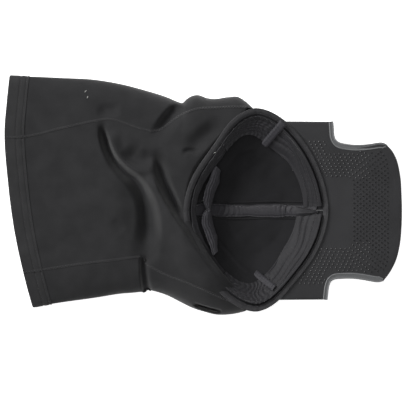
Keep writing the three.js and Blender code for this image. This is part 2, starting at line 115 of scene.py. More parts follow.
class Path:
    """A smooth line through chosen points, read by its share of the length."""

    def __init__(self, points, per_step=12):
        points = np.array(points, float)
        self.size = points.shape[1]
        ends = np.vstack([2 * points[0] - points[1], points, 2 * points[-1] - points[-2]])
        t = np.linspace(0, 1, per_step, endpoint=False)[:, None]
        rows = []
        for a, b, c, d in zip(ends, ends[1:], ends[2:], ends[3:]):
            square, cube = 2 * a - 5 * b + 4 * c - d, 3 * b - a - 3 * c + d
            rows.append(0.5 * (2 * b + (c - a) * t + square * t**2 + cube * t**3))
        self.line = np.vstack([*rows, points[-1:]])
        steps = np.linalg.norm(np.diff(self.line, axis=0), axis=1)
        self.far = np.concatenate([[0], np.cumsum(steps)])
        self.length = self.far[-1]

    def at(self, share):
        share = np.asarray(share, float) * self.length
        return np.stack([np.interp(share, self.far, self.line[:, k]) for k in range(self.size)], -1)

    def beside(self, x, y):
        """For places in plan: the distance off the line, more than 0 on its left, and the share along it."""
        shape = np.shape(x)
        p = np.stack([np.ravel(x), np.ravel(y)], -1)
        a, b = self.line[:-1, :2], self.line[1:, :2]
        run = b - a
        long = (run**2).sum(1)
        best = np.full(len(p), np.inf)
        off, share = np.zeros(len(p)), np.zeros(len(p))
        for k in range(len(a)):
            rel = p - a[k]
            t = np.clip(rel @ run[k] / max(long[k], 1e-9), 0, 1)
            gap = np.linalg.norm(rel - t[:, None] * run[k], axis=1)
            side = np.sign(run[k, 0] * rel[:, 1] - run[k, 1] * rel[:, 0])
            closer = gap < best
            best = np.where(closer, gap, best)
            off = np.where(closer, gap * np.where(side == 0, 1, side), off)
            along = (self.far[k] + t * math.sqrt(long[k])) / self.length
            share = np.where(closer, along, share)
        return off.reshape(shape), share.reshape(shape)


def grid(rows, columns):
    return np.meshgrid(np.linspace(0, 1, rows), np.linspace(0, 1, columns), indexing="ij")


def normals_of(points):
    """The unit normals of a grid of points, from its rows to its columns by the right-hand rule."""
    along = np.gradient(points, axis=0)
    across = np.gradient(points, axis=1)
    return unit(np.cross(along, across))


def finish_mesh(name, vertices, faces, material, sharp=()):
    mesh = bpy.data.meshes.new(name)
    mesh.from_pydata([tuple(v) for v in np.asarray(vertices) * MM], [], faces)
    mesh.polygons.foreach_set("use_smooth", [True] * len(mesh.polygons))
    if len(sharp):
        keys = {tuple(sorted(e)) for e in sharp}
        flags = [tuple(sorted(e.vertices)) in keys for e in mesh.edges]
        mesh.attributes.new("sharp_edge", "BOOLEAN", "EDGE").data.foreach_set("value", flags)
    mesh.validate()
    mesh.update()
    mesh.materials.append(material)
    piece = bpy.data.objects.new(name, mesh)
    bpy.context.scene.collection.objects.link(piece)
    return piece


def cloth(name, points, thickness, material, behind=None):
    """A closed sheet: points are its outer face, and its other face, which may differ, is that far behind."""
    rows, columns = points.shape[:2]
    inner = points - normals_of(points) * thickness
    vertices = np.vstack([points.reshape(-1, 3), inner.reshape(-1, 3)])
    count = rows * columns
    place = np.arange(count).reshape(rows, columns)
    faces, sharp = [], []
    for i in range(rows - 1):
        for j in range(columns - 1):
            a, b, c, d = place[i, j], place[i + 1, j], place[i + 1, j + 1], place[i, j + 1]
            faces.append((a, b, c, d))
            faces.append((a + count, d + count, c + count, b + count))
    rim = [*place[0, :], *place[1:, -1], *place[-1, -2::-1], *place[-2:0:-1, 0]]
    for a, b in zip(rim, rim[1:] + rim[:1]):
        faces.append((a, b, b + count, a + count))
        sharp += [(a, b), (a + count, b + count)]
    piece = finish_mesh(name, vertices, [tuple(int(k) for k in f) for f in faces], material, sharp)
    if behind:
        piece.data.materials.append(behind)
        for face in piece.data.polygons:
            face.material_index = int(min(face.vertices) >= count)
    return piece


def tube_faces(start, rings, sides):
    """Faces of a closed tube whose vertices follow ring by ring from that place on."""
    faces = []
    for i in range(rings - 1):
        for k in range(sides):
            a, b = start + i * sides + k, start + i * sides + (k + 1) % sides
            faces.append((a, b, b + sides, a + sides))
    last = start + (rings - 1) * sides
    faces.append(tuple(start + k for k in range(sides))[::-1])
    faces.append(tuple(last + k for k in range(sides)))
    return faces


def threads(name, lines, radius, material, sides=5):
    """Round cords along lists of points, with closed ends, as one piece."""
    vertices, faces = [], []
    turn = np.linspace(0, 2 * np.pi, sides, endpoint=False)[None, :, None]
    for line in lines:
        line = np.asarray(line, float)
        ahead = unit(np.gradient(line, axis=0))
        up = np.tile([0.0, 0.0, 1.0], (len(line), 1))
        up[np.abs(ahead[:, 2]) > 0.95] = [1.0, 0.0, 0.0]
        across = unit(np.cross(ahead, up))
        up = np.cross(across, ahead)
        rings = line[:, None] + radius * (np.cos(turn) * across[:, None] + np.sin(turn) * up[:, None])
        faces += tube_faces(len(vertices), len(line), sides)
        vertices += list(rings.reshape(-1, 3))
    return finish_mesh(name, vertices, faces, material)


def stitches_along(path, pitch, reach=0.35, lift=0.0):
    """Short threads in a row along a line, each reaching a share of the pitch either way."""
    steps = int(path.length / pitch)
    spots = np.array([0.5 - reach, 0.5, 0.5 + reach])
    return [path.at((k + spots) / steps) + np.array([0, 0, lift]) for k in range(steps)]


# ---- Materials -----------------------------------------------------------------------------------
class Graph:
    """A short way to build a material's nodes."""

    def __init__(self, name):
        self.material = bpy.data.materials.new(name)
        self.material.use_nodes = True
        self.tree = self.material.node_tree
        self.shader = self.tree.nodes["Principled BSDF"]
        coordinates = self.tree.nodes.new("ShaderNodeTexCoord")
        scale = self.tree.nodes.new("ShaderNodeVectorMath")
        scale.operation = "SCALE"
        scale.inputs["Scale"].default_value = 1 / MM
        self.tree.links.new(coordinates.outputs["Object"], scale.inputs[0])
        self.place = scale.outputs[0]  # in millimetres

    def node(self, kind, links=(), **settings):
        node = self.tree.nodes.new("ShaderNode" + kind)
        for key, value in settings.items():
            setattr(node, key, value)
        for key, value in dict(links).items():
            if isinstance(value, bpy.types.NodeSocket):
                self.tree.links.new(value, node.inputs[key])
            else:
                node.inputs[key].default_value = value
        return node

    def noise(self, scale, detail=2.0, place=None):
        links = {"Vector": place or self.place, "Scale": scale, "Detail": detail}
        return self.node("TexNoise", links).outputs["Fac"]

    def wave(self, scale, direction="X", distortion=0.0, place=None):
        links = {"Vector": place or self.place, "Scale": scale, "Distortion": distortion, "Detail": 1.0}
        return self.node("TexWave", links, bands_direction=direction).outputs["Fac"]

    def math(self, operation, a, b):
        return self.node("Math", {0: a, 1: b}, operation=operation).outputs[0]

    def blend(self, factor, a, b):
        node = self.node("Mix", {"Factor": factor}, data_type="RGBA")
        for socket, value in ((node.inputs[6], a), (node.inputs[7], b)):
            if isinstance(value, bpy.types.NodeSocket):
                self.tree.links.new(value, socket)
            else:
                socket.default_value = (*value, 1)
        return node.outputs[2]

    def span(self, value, low, high, to_low=0.0, to_high=1.0):
        links = {"Value": value, "From Min": low, "From Max": high, "To Min": to_low, "To Max": to_high}
        return self.node("MapRange", links).outputs[0]

    def bump(self, height, strength, distance, under=None):
        links = {"Height": height, "Strength": strength, "Distance": distance * MM}
        if under is not None:
            links["Normal"] = under
        return self.node("Bump", links).outputs["Normal"]

    def set(self, **inputs):
        for key, value in inputs.items():
            socket = self.shader.inputs[key.replace("_", " ")]
            if isinstance(value, bpy.types.NodeSocket):
                self.tree.links.new(value, socket)
            else:
                socket.default_value = value
        return self.material


def knit(name, dark, light, pitch, sheen, roughness=0.9, relief=0.25, patches=18.0):
    """A fine jersey: small ribs with a soft, slightly uneven surface."""
    g = Graph(name)
    ribs = g.wave(1 / pitch, "X", 1.2)
    courses = g.wave(0.8 / pitch, "Y", 1.2)
    loops = g.math("MULTIPLY", ribs, courses)
    fuzz = g.noise(1.6, 4.0)
    cloud = g.noise(1 / patches, 3.0)
    tone = g.math("ADD", g.span(cloud, 0.3, 0.7, 0.0, 0.6), g.span(fuzz, 0.35, 0.7, 0.0, 0.4))
    colour = g.blend(tone, dark, light)
    normal = g.bump(fuzz, 0.35, 0.35)
    normal = g.bump(loops, relief, 0.25, normal)
    rough = g.span(fuzz, 0.3, 0.7, roughness - 0.06, min(1.0, roughness + 0.05))
    return g.set(
        Base_Color=colour, Roughness=rough, Normal=normal,
        Sheen_Weight=sheen, Sheen_Roughness=0.45, Specular_IOR_Level=0.25,
    )


def tape_cloth(name, dark, light, direction, pitch, roughness=0.62, sheen=0.15):
    """A woven tape or satin binding with fine cross ribs."""
    g = Graph(name)
    ribs = g.wave(1 / pitch, direction, 0.6)
    fuzz = g.noise(1.1, 3.0)
    tone = g.math("ADD", g.span(ribs, 0.0, 1.0, 0.0, 0.45), g.span(fuzz, 0.3, 0.7, 0.0, 0.55))
    normal = g.bump(fuzz, 0.25, 0.3)
    normal = g.bump(ribs, 0.35, 0.2, normal)
    rough = g.span(fuzz, 0.3, 0.7, roughness - 0.08, roughness + 0.08)
    return g.set(
        Base_Color=g.blend(tone, dark, light), Roughness=rough, Normal=normal,
        Sheen_Weight=sheen, Sheen_Roughness=0.4, Specular_IOR_Level=0.4,
    )


fleece = knit("fleece", (0.0132, 0.0132, 0.0141), (0.0225, 0.0225, 0.0236), 0.9, 0.14)
hem_fleece = knit("hem_fleece", (0.0169, 0.0169, 0.0177), (0.0267, 0.0267, 0.0277), 0.9, 0.16)
lining = knit("crown_lining", (0.0079, 0.0078, 0.0087), (0.0137, 0.0136, 0.0153), 0.8, 0.05)
visor_knit = knit(
    "visor_knit", (0.0294, 0.0294, 0.031), (0.0435, 0.0435, 0.0462), 0.7, 0.14, 0.85, 0.35, 30.0
)
band_cloth = tape_cloth(
    "sweatband_cloth", (0.008, 0.0077, 0.0093), (0.0173, 0.0166, 0.0201), "Z", 1.0, 0.66
)
elastic_cloth = tape_cloth(
    "elastic_cloth", (0.0186, 0.0179, 0.0217), (0.0434, 0.0419, 0.0496), "Y", 0.9, 0.58
)
satin_tape = tape_cloth("satin_tape", (0.0128, 0.012, 0.0154), (0.021, 0.0199, 0.0248), "X", 1.1, 0.5)
binding = tape_cloth("rim_binding", (0.0136, 0.0133, 0.0149), (0.0273, 0.0267, 0.0298), "Z", 1.2, 0.6)
grey_tape = tape_cloth("grey_binding", (0.0884, 0.091, 0.0936), (0.156, 0.1612, 0.1664), "X", 1.0, 0.5)
grey_edge = tape_cloth(
    "grey_binding_edge", (0.1764, 0.1806, 0.1848), (0.2436, 0.2478, 0.252), "X", 1.0, 0.45
)
thread = tape_cloth("seam_thread", (0.025, 0.025, 0.0265), (0.0525, 0.0525, 0.055), "X", 0.7, 0.55)
dark_thread = tape_cloth("hem_thread", (0.014, 0.014, 0.015), (0.03, 0.03, 0.032), "X", 0.7, 0.6)
pale_thread = tape_cloth("tack_thread", (0.55, 0.55, 0.53), (0.75, 0.75, 0.72), "X", 0.7, 0.5)
# Only for the pale dots in the visor's holes: painted light coming through them.
painted_glint_cloth = tape_cloth("painted_light_glint", (0.16, 0.16, 0.16), (0.3, 0.3, 0.3), "X", 0.8, 0.55)
foam_core = knit("foam_core", (0.0072, 0.0072, 0.0075), (0.0132, 0.0132, 0.0138), 1.5, 0.0)


# ---- Sizes from the frame ------------------------------------------------------------------------
def corners(node):
    low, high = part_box(node)
    return np.array(low) / MM, np.array(high) / MM


rim_low, rim_high = corners("crown_rim_cord")
crown_low, _ = corners("crown_left_half")
chin_low, chin_high = corners("chin_panel")

CLOTH = chin_high[2] - chin_low[2]
SHEET = 0.75 * CLOTH  # how thick the neck tube's single layers are made
FOLD_RADIUS = 5.0
RIM_RADIUS = 2.2
RIM_MIDDLE = (rim_low[0] + rim_high[0]) / 2
RIM_HALF_LENGTH = (rim_high[0] - rim_low[0]) / 2
RIM_HALF_WIDTH = (rim_high[1] - rim_low[1]) / 2
RIM_POWER = 1.7
RIM_FRONT_HEIGHT = 18.0
RIM_RISE = 24.0
RIM_REACH = 110.0
CROWN_FLOOR = crown_low[2] + CLOTH
CROWN_FLAT = 0.45
CROWN_CURVE = 1.25
CROWN_INSET = 2 * RIM_RADIUS + 0.7 * CLOTH + 0.3


# ---- Floor, camera and light ---------------------------------------------------------------------
def make_stage():
    low, high = (np.array(corner) for corner in cad_bounds)
    middle = (low + high) / 2
    mesh = bpy.data.meshes.new("floor")
    half, gap = 4.0, 0.0006
    square = [(-half, -half, 0), (half, -half, 0), (half, half, 0), (-half, half, 0)]
    mesh.from_pydata(square, [], [(0, 1, 2, 3)])
    g = Graph("white_floor")
    tone = g.blend(g.span(g.noise(0.02), 0.3, 0.7), (0.8, 0.8, 0.8), (0.84, 0.84, 0.84))
    g.set(Emission_Color=(1, 1, 1, 1), Emission_Strength=0.85)
    mesh.materials.append(g.set(Base_Color=tone, Roughness=0.9))
    floor = bpy.data.objects.new("floor", mesh)
    floor.location.z = low[2] - gap
    bpy.context.scene.collection.objects.link(floor)

    # The camera looks straight down and shows 437 mm of the object's middle level.
    shown, distance, sensor = 0.4368, 2.3, 36.0
    off_middle = (0.0047, -0.0142)
    camera = bpy.data.cameras.new("camera")
    camera.sensor_width = sensor
    camera.lens = sensor * distance / shown
    eye = bpy.data.objects.new("camera", camera)
    aim = Vector((middle[0] + off_middle[0], middle[1] + off_middle[1], middle[2]))
    eye.location = aim + Vector((0, 0, distance))
    bpy.context.scene.collection.objects.link(eye)
    bpy.context.scene.camera = eye

    def area_light(name, place, power, size):
        data = bpy.data.lights.new(name, "AREA")
        data.energy = power
        data.shape = "RECTANGLE"
        data.size, data.size_y = size
        light = bpy.data.objects.new(name, data)
        light.location = aim + Vector(place)
        light.rotation_euler = (-Vector(place)).to_track_quat("-Z", "Y").to_euler()
        bpy.context.scene.collection.objects.link(light)

    area_light("key", (-1.5, 1.0, 1.25), 50.0, (0.9, 0.9))
    area_light("fill", (1.4, -0.9, 1.3), 4.0, (1.4, 1.4))
    area_light("overhead", (-0.3, 0.2, 2.0), 14.0, (1.0, 1.0))
    world = bpy.data.worlds.new("studio")
    world.use_nodes = True
    background = world.node_tree.nodes["Background"]
    background.inputs["Color"].default_value = (1, 1, 1, 1)
    background.inputs["Strength"].default_value = 0.14
    bpy.context.scene.world = world
    bpy.context.scene.view_settings.view_transform = "Standard"


make_stage()


# ---- The neck tube's shape -----------------------------------------------------------------------
# Its sides as seen from above, X then Y.
LEFT_SIDE = spline([
    (-262, 142), (-208, 139.8), (-170, 137.6), (-145, 133.4), (-120, 127), (-94, 118.8), (-83, 114.2),
    (-79, 113.2), (-75, 117.0), (-69, 120.6), (-63, 121.6), (-52, 118.2), (-44, 117.6), (-31, 119.4),
    (-19, 119.2), (-12, 114.5), (-6, 109),
])
RIGHT_SIDE = spline([
    (-240, -103), (-208, -97.7), (-170, -92.4), (-145, -88.4), (-125, -86.6), (-119, -85.6), (-115.5, -82.6),
    (-112, -84.6), (-107, -86.0), (-96, -89.6), (-82, -96.6), (-69, -103), (-56, -107.2), (-44, -110.2),
    (-31, -110.3), (-12, -106.5), (0, -102),
])
# The two seams on the upper layer.
LEFT_SEAM = Path([
    (-266, 76.5), (-248, 76.8), (-228, 80.4), (-208, 85.6), (-166, 94.3), (-150, 94.5), (-129, 87.4),
    (-113, 83), (-103, 84), (-95, 89.3), (-83, 98), (-70, 104), (-58, 106.6), (-41, 107.4), (-25, 108.2),
    (-12, 108),
])
RIGHT_SEAM = Path([
    (-249, -66), (-230, -63.4), (-187, -56.7), (-145, -51.5), (-121.5, -49), (-118.5, -54.5), (-107, -62),
    (-92, -68.7), (-77, -73.8), (-61, -80.4), (-46, -87.2), (-33, -93.2), (-15, -99.5),
])
# The hem's outer edge, Y then X.
HEM_EDGE = spline([
    (-103, -237), (-63, -247), (-20, -256), (30, -262.5), (88, -266), (113, -264), (142, -261.5),
])
HEM_WIDTH = 21.0
HEM_TUCK = 2.5  # how far the nape panel reaches under the hem
SIDE_TUCK = 2.0  # and how far the other three panels do
CHIN_INSET = 45.0  # from the tube's folded sides to the seams underneath
# Where the nape panel's upper face meets the cap, or rolls over it, from the right seam to the left one.
NAPE_END = Path([
    (-15, -99.5), (-20, -93), (-29, -83), (-42, -68), (-58, -46), (-70, -24), (-76, -7), (-77, 12),
    (-74.5, 28), (-69, 43), (-59.5, 57), (-47.5, 71), (-35, 85), (-22, 98), (-12, 108),
])

# Height of the upper layer along the middle of the tube, X then Z.
MIDDLE_HEIGHT = spline([
    (-266, 15.5), (-230, 17), (-190, 22), (-150, 27), (-110, 31), (-90, 34.5), (-76, 37), (-60, 37),
    (-40, 35), (0, 35),
])


def rim_height(x):
    return RIM_FRONT_HEIGHT + RIM_RISE * (1 - np.exp((x - rim_high[0]) / RIM_REACH))


# Folds of the upper layer: a line, its height, how far it spreads on the line's left and on its right (each
# at its start and at its end), where it fades in and out, and whether it reaches the tube's folded edge.
FOLDS = [
    # the long hollow from the left seam down to the right side
    ([(-164, 95), (-161, 80), (-157, 66), (-150, 53), (-139, 41), (-127, 30), (-117, 15), (-112, -2),
      (-111, -18), (-113, -36), (-117, -52), (-120, -66)], -17.0, (3.5, 8.0), (4.0, 12.5), 0.14, 0.3, False),
    # its long slope from the flat part of the tube
    ([(-124, 45), (-121, 10), (-120, -20), (-121, -50)], -7.0, (6.0, 6.0), (17.0, 17.0), 0.35, 0.4, False),
    # its light upper wall, a pleat that turns into the big roll
    ([(-153, 88), (-151.5, 68), (-146, 53), (-138, 44), (-128, 40), (-117, 41), (-109, 48)],
     4.0, (7.0, 5.0),
     (3.0, 4.0), 0.2, 0.25, False),
    # slack cloth between that pleat and the seam
    ([(-140, 66), (-128, 55), (-117, 54), (-108, 62)], -6.0, (10.0, 7.0), (7.0, 6.0), 0.35, 0.3, False),
    # the big roll that overhangs the cap
    ([(-116, 47), (-110, 33), (-101, 14), (-90, -5), (-79, -22), (-62, -47), (-46, -68), (-33, -83),
      (-22, -95)], 11.3, (2.6, 7.0), (15.0, 21.0), 0.16, 0.25, False),
    # the hollow behind it
    ([(-108, 66), (-104, 50), (-97, 30), (-87, 9), (-79, -8)],
     -14.0, (7.0, 4.0), (4.5, 5.0), 0.35, 0.2, False),
    # the hollow beside the rim at the upper left
    ([(-78, 59), (-66, 67), (-56, 76), (-45, 86), (-36, 95)],
     -5.5, (9.0, 8.0), (7.0, 6.0), 0.35, 0.35, False),
    # a short crease across it
    ([(-80, 61), (-70, 62), (-60, 60)], -3.5, (2.4, 2.4), (3.0, 3.0), 0.3, 0.3, False),
    # the hollow that runs up to the notch in the left side
    ([(-110, 74), (-101, 88), (-91, 102), (-80, 113)], -9.0, (5.0, 4.0), (10.0, 8.0), 0.45, 0.05, False),
    # a dent above the left seam
    ([(-170, 101), (-158, 104), (-142, 105)], -3.6, (6.0, 6.0), (5.0, 5.0), 0.35, 0.35, False),
    # the sharp tuck at the right side
    ([(-120.5, -46), (-121, -60), (-120, -76), (-118, -88)], -9.0, (5.0, 5.0), (2.0, 2.0), 0.2, 0.02, True),
    # the opening between the two layers at the right shoulder
    ([(-68, -98), (-58, -101.5), (-48, -104.5), (-37, -106.5)],
     -16.0, (1.5, 1.5), (1.7, 1.7), 0.25, 0.25, True),
    # faint sags of the flat part
    ([(-235, 30), (-200, 22), (-160, 26)], -1.5, (26.0, 26.0), (22.0, 22.0), 0.4, 0.4, False),
    ([(-225, -25), (-190, -30), (-150, -22)], -1.6, (20.0, 20.0), (24.0, 24.0), 0.4, 0.4, False),
    ([(-200, 60), (-182, 56), (-170, 48)], 1.2, (10.0, 10.0), (12.0, 12.0), 0.4, 0.4, False),
    ([(-152, -8), (-146, -16), (-140, -24)], -1.6, (4.0, 4.0), (6.0, 6.0), 0.4, 0.4, False),
    ([(-180, -60), (-160, -66), (-140, -72)], -1.2, (8.0, 8.0), (8.0, 8.0), 0.4, 0.4, False),
]
FOLDS = [(Path(points, 6), *rest) for points, *rest in FOLDS]


def undulation(x, y, height, length):
    """A gentle unevenness, the same every time."""
    return height * (
        np.sin(x / length + 1.3) * np.cos(y / length * 0.8 + 0.4)
        + 0.6 * np.sin((x * 0.6 + y) / length * 1.7 + 2.1)
        + 0.4 * np.cos((x - y * 1.3) / length * 2.3)
    )


KERNEL = 1.9  # a fold ends at this many times its spread


def tube_width(x):
    """The tube's middle across, and half its width."""
    left, right = LEFT_SIDE(x), RIGHT_SIDE(x)
    return (left + right) / 2, (left - right) / 2


def tube_height(x, y):
    """The upper layer's height over the plan."""
    x, y = np.broadcast_arrays(np.atleast_1d(np.asarray(x, float)), np.atleast_1d(np.asarray(y, float)))
    middle, half = tube_width(x)
    level = np.clip(np.abs((y - middle) / half), 0, 1)
    rise = np.sqrt(np.maximum(0, 1 - level**5))
    height = FOLD_RADIUS + (MIDDLE_HEIGHT(x) - FOLD_RADIUS) * rise
    calm = ease((1 - level) / 0.14)  # the folded edges stay down
    shift = undulation(x, y, 0.35, 17.0) * calm
    for line, size, left_spread, right_spread, fade_in, fade_out, to_edge in FOLDS:
        reach = KERNEL * max(*left_spread, *right_spread)
        low, high = line.line.min(0) - reach, line.line.max(0) + reach
        near = (x > low[0]) & (x < high[0]) & (y > low[1]) & (y < high[1])
        if not near.any():
            continue
        off, share = line.beside(x[near], y[near])
        spread = np.where(off > 0, mix(*left_spread, ease(share)), mix(*right_spread, ease(share)))
        inside = ease(share / fade_in) * ease((1 - share) / fade_out)
        form = np.clip(1 - (off / (KERNEL * spread)) ** 2, 0, None) ** 3
        shift[near] += size * inside * form * (1.0 if to_edge else calm[near])
    return np.maximum(height + shift, 4.0)


def across_tube(x, turn):
    """A point on the tube: turn 0 is the right edge, 1 the left, and from 1 to 2 back underneath."""
    middle, half = tube_width(x)
    above = turn <= 1
    rising = np.sin(np.pi * (np.clip(turn, 0, 1) - 0.5))
    y = middle + half * np.where(above, rising, np.cos(np.pi * (turn - 1)))
    edge = np.minimum(np.abs(LEFT_SIDE(x) - y), np.abs(y - RIGHT_SIDE(x)))
    short = np.clip(FOLD_RADIUS - edge, 0, FOLD_RADIUS)
    below = FOLD_RADIUS - np.sqrt(np.maximum(FOLD_RADIUS**2 - short**2, 0))
    z = np.where(above, tube_height(x, y), below)
    return np.stack([x + 0 * y, y, z], -1)


def turn_at(x, y):
    """The turn of a place on the upper layer."""
    middle, half = tube_width(x)
    return 0.5 + np.arcsin(np.clip((y - middle) / half, -1, 1)) / np.pi


def seam_turn(x, seam):
    return turn_at(x, np.interp(x, seam.line[:, 0], seam.line[:, 1]))


# ---- Neck tube pieces ----------------------------------------------------------------------------
def place(piece, body, node, slot):
    """The piece moves with a body and stands for a node. Its slot is not used."""
    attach(piece, body)
    if node:
        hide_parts(node)
    return piece


COONS_ROUNDS = 400


def coons(right, left, start, end, rows, columns):
    """A patch in plan between four lines, from start to end and from right to left."""
    u, v = grid(rows, columns)
    u, v = u[..., None], v[..., None]
    a, b = right.at(u[:, 0, 0])[:, None], left.at(u[:, 0, 0])[:, None]
    h, r = start.at(v[0, :, 0])[None], end.at(v[0, :, 0])[None]
    flat = (1 - u) * h + u * r + (1 - v) * a + v * b
    flat -= (1 - u) * (1 - v) * a[0] + (1 - u) * v * b[0] + u * (1 - v) * a[-1] + u * v * b[-1]
    for _ in range(COONS_ROUNDS):  # a sharp turn in a seam fades out within the patch
        beside, along = flat[1:-1, 2:] + flat[1:-1, :-2], flat[2:, 1:-1] + flat[:-2, 1:-1]
        flat[1:-1, 1:-1] = (beside + along) / 4
    return flat


def hem_line(right_y, left_y, inset):
    """A line across the hem between two places, that far in from its edge."""
    y = np.linspace(right_y, left_y, 12)
    return Path(np.stack([HEM_EDGE(y) + inset, y], -1))


def from_hem(seam, inset):
    """The points of a seam from that far inside the hem's edge on."""
    return seam.line[seam.line[:, 0] > HEM_EDGE(seam.line[:, 1]) + inset][::4]


def make_nape_panel():
    right, left = (Path(from_hem(seam, HEM_WIDTH - HEM_TUCK), 4) for seam in (RIGHT_SEAM, LEFT_SEAM))
    start = hem_line(right.line[0, 1], left.line[0, 1], HEM_WIDTH - HEM_TUCK)
    start.line[0], start.line[-1] = right.line[0], left.line[0]
    flat = coons(right, left, start, NAPE_END, 220, 150)
    z = tube_height(flat[..., 0], flat[..., 1])
    points = np.concatenate([flat, z[..., None]], -1)

    # Past its end, the cloth rolls over and back under to the seam at the rim.
    edge = points[-1]
    ahead = unit(np.stack([np.gradient(edge[:, 1]), -np.gradient(edge[:, 0])], -1))
    share = np.linspace(0, 1, len(edge))
    overhang = ease(share / 0.05) * ease((0.6 - share) / 0.18)
    radius = 1.2 + mix(2.4, 4.6, overhang) * ease(share / 0.08) * ease((1 - share) / 0.1)
    rows = []
    for step in np.linspace(0, 1, 13)[1:]:
        angle = step * np.pi * mix(0.55, 0.98, overhang)
        out = radius * np.sin(angle)
        down = radius * (1 - np.cos(angle)) * mix(1.5, 1.0, overhang)
        rows.append(np.column_stack([edge[:, :2] + ahead * out[:, None], edge[:, 2] - down]))
    points = np.concatenate([points, np.array(rows)])
    return place(cloth("nape_panel_cloth", points, SHEET, fleece), "hood", "nape_panel", "fleece")


def under_turn(x):
    """The turn where a side panel meets the chin panel, counted on from its folded side."""
    return np.arccos(np.clip(1 - CHIN_INSET / tube_width(x)[1], -1, 1)) / np.pi


def chin_end(y):
    return 36 - 34 * np.clip(np.abs(y) / RIM_HALF_WIDTH, 0, 1) ** 2


def make_side_panel(hand, way):
    """From the upper seam, round the folded side, to the seam underneath."""
    u, v = grid(190, 80)
    seam = LEFT_SEAM if way > 0 else RIGHT_SEAM
    upper_end = 1.0 if way > 0 else -14.0
    x = np.full_like(u, -150.0)
    for _ in range(5):
        upper, under = seam_turn(x, seam), under_turn(x)
        turn = mix(upper, 1 + under, v) if way > 0 else mix(upper, -under, v)
        point = across_tube(x, np.where(turn < 0, 2 + turn, turn))
        y = point[..., 1]
        past_fold = turn - 1 if way > 0 else -turn
        end = mix(upper_end, chin_end(y), ease(past_fold / 0.08))
        x = mix(HEM_EDGE(y) + HEM_WIDTH - SIDE_TUCK, end, u)
    point = across_tube(x, np.where(turn < 0, 2 + turn, turn))
    if way < 0:
        point = point[:, ::-1]
    piece = cloth(f"side_panel_{hand}_cloth", point, SHEET, fleece)
    return place(piece, "hood", f"side_panel_{hand}", "fleece")


def make_chin_panel():
    u, v = grid(120, 60)
    y = mix(-60.0, 90.0, v)
    for _ in range(4):
        x = mix(HEM_EDGE(y) + HEM_WIDTH - SIDE_TUCK, chin_end(y), u)
        low, high = RIGHT_SIDE(x) + CHIN_INSET, LEFT_SIDE(x) - CHIN_INSET
        y = mix(low, high, v)
    z = 0.1 + undulation(x, y, 0.04, 23.0)
    points = np.stack([x, y, z], -1)[:, ::-1]
    piece = cloth("chin_panel_cloth", points, SHEET, fleece)
    place(piece, "hood", "chin_panel", "fleece")
    across = np.linspace(-RIM_HALF_WIDTH * 0.93, RIM_HALF_WIDTH * 0.97, 90)
    line = np.stack([chin_end(across) - 0.4, across, 1.0 + 0 * across], -1)
    edge = threads("chin_edge_binding", [line], 1.15, binding, 10)
    place(edge, "hood", "chin_edge", "ribbon")
    return piece, edge


def flatlock(name, line, level, node, turn_over=False, width=1.5, proud=0.55):
    """A flat-locked seam: a low rounded ribbon, with a zigzag of looper thread across it."""
    seam = Path(line)
    count = max(40, int(seam.length / 1.6))
    u, v = grid(count, 9)
    middle = seam.at(u)
    ahead = unit(np.gradient(middle, axis=0))
    side = (v - 0.5) * 2
    x = middle[..., 0] - ahead[..., 1] * side * width
    y = middle[..., 1] + ahead[..., 0] * side * width
    rise = proud * (1 - side**4) - 0.25 * bell(side, 0.28)
    z = level(x, y) + (-rise if turn_over else rise)
    points = np.stack([x, y, z], -1)
    if turn_over:
        points = points[:, ::-1]
    ribbon = cloth(name, points, 1.1, hem_fleece)
    place(ribbon, "hood", node, "ribbon")
    steps = int(seam.length / 1.5)
    spot = seam.at((np.arange(steps) + 0.5) / steps)
    run = unit(np.gradient(spot, axis=0))
    sway = np.where(np.arange(steps) % 2, 0.62, -0.62)[:, None] * width
    swing = sway * np.stack([run[:, 1], -run[:, 0]], -1)
    plan = np.stack([spot - run * 0.55 + swing, spot, spot + run * 0.55 - swing], 1)
    z = level(plan[..., 0], plan[..., 1]) + (-1 if turn_over else 1) * (proud + 0.02)
    lines = list(np.concatenate([plan, z[..., None]], -1))
    stitches = threads(name + "_stitches", lines, 0.16, thread, 4)
    place(stitches, "hood", None, "ribbon")
    return [ribbon, stitches]


HEM_GROOVES = (12.2, 18.6)  # in from the hem's edge


def hem_piece(name, turns, node, columns):
    """The turned-up hem between two turns of the tube, with two lines of needlework round it."""
    rows = 30
    u, v = grid(rows, columns)
    x = np.full_like(u, -250.0)
    for _ in range(4):
        first, last = turns(x)
        turn = mix(first, last, v)
        point = across_tube(x, np.mod(turn, 2))
        x = HEM_EDGE(point[..., 1]) + u * HEM_WIDTH
    point = across_tube(x, np.mod(turn, 2))
    inward = u * HEM_WIDTH
    middle = sum(HEM_GROOVES) / 2
    proud = 0.7 * np.sqrt(np.clip(1 - np.maximum(0, 1 - inward / 1.6) ** 2, 0, 1))
    for groove in HEM_GROOVES:
        proud = proud - 0.55 * bell(inward - groove, 0.75)
    proud = proud + 0.12 * np.sin(turn * 160) * bell(inward - middle, 2.6)
    point = point + normals_of(point) * proud[..., None]
    point[..., 2] = np.maximum(point[..., 2], 0.03)  # it rests on the ground
    piece = cloth(name, point, 2.9, hem_fleece)
    place(piece, "hood", node, "fleece")
    lines = []
    for groove in HEM_GROOVES:
        rail = point[round(groove / HEM_WIDTH * (rows - 1))]
        lines += stitches_along(Path(rail[::2], 3), 3.0, 0.36, 0.1)
    stitches = threads(name + "_stitches", lines, 0.22, dark_thread, 4)
    place(stitches, "hood", None, "ribbon")
    return [piece, stitches]


def front_turns(x):
    return seam_turn(x, LEFT_SEAM), 2 + seam_turn(x, RIGHT_SEAM)


def nape_turns(x):
    return seam_turn(x, RIGHT_SEAM), seam_turn(x, LEFT_SEAM)


def over_hem(x, y):
    """The upper layer's height, with the hem on it."""
    return tube_height(x, y) + 0.65 * ease((HEM_EDGE(y) + HEM_WIDTH - x) / 2)


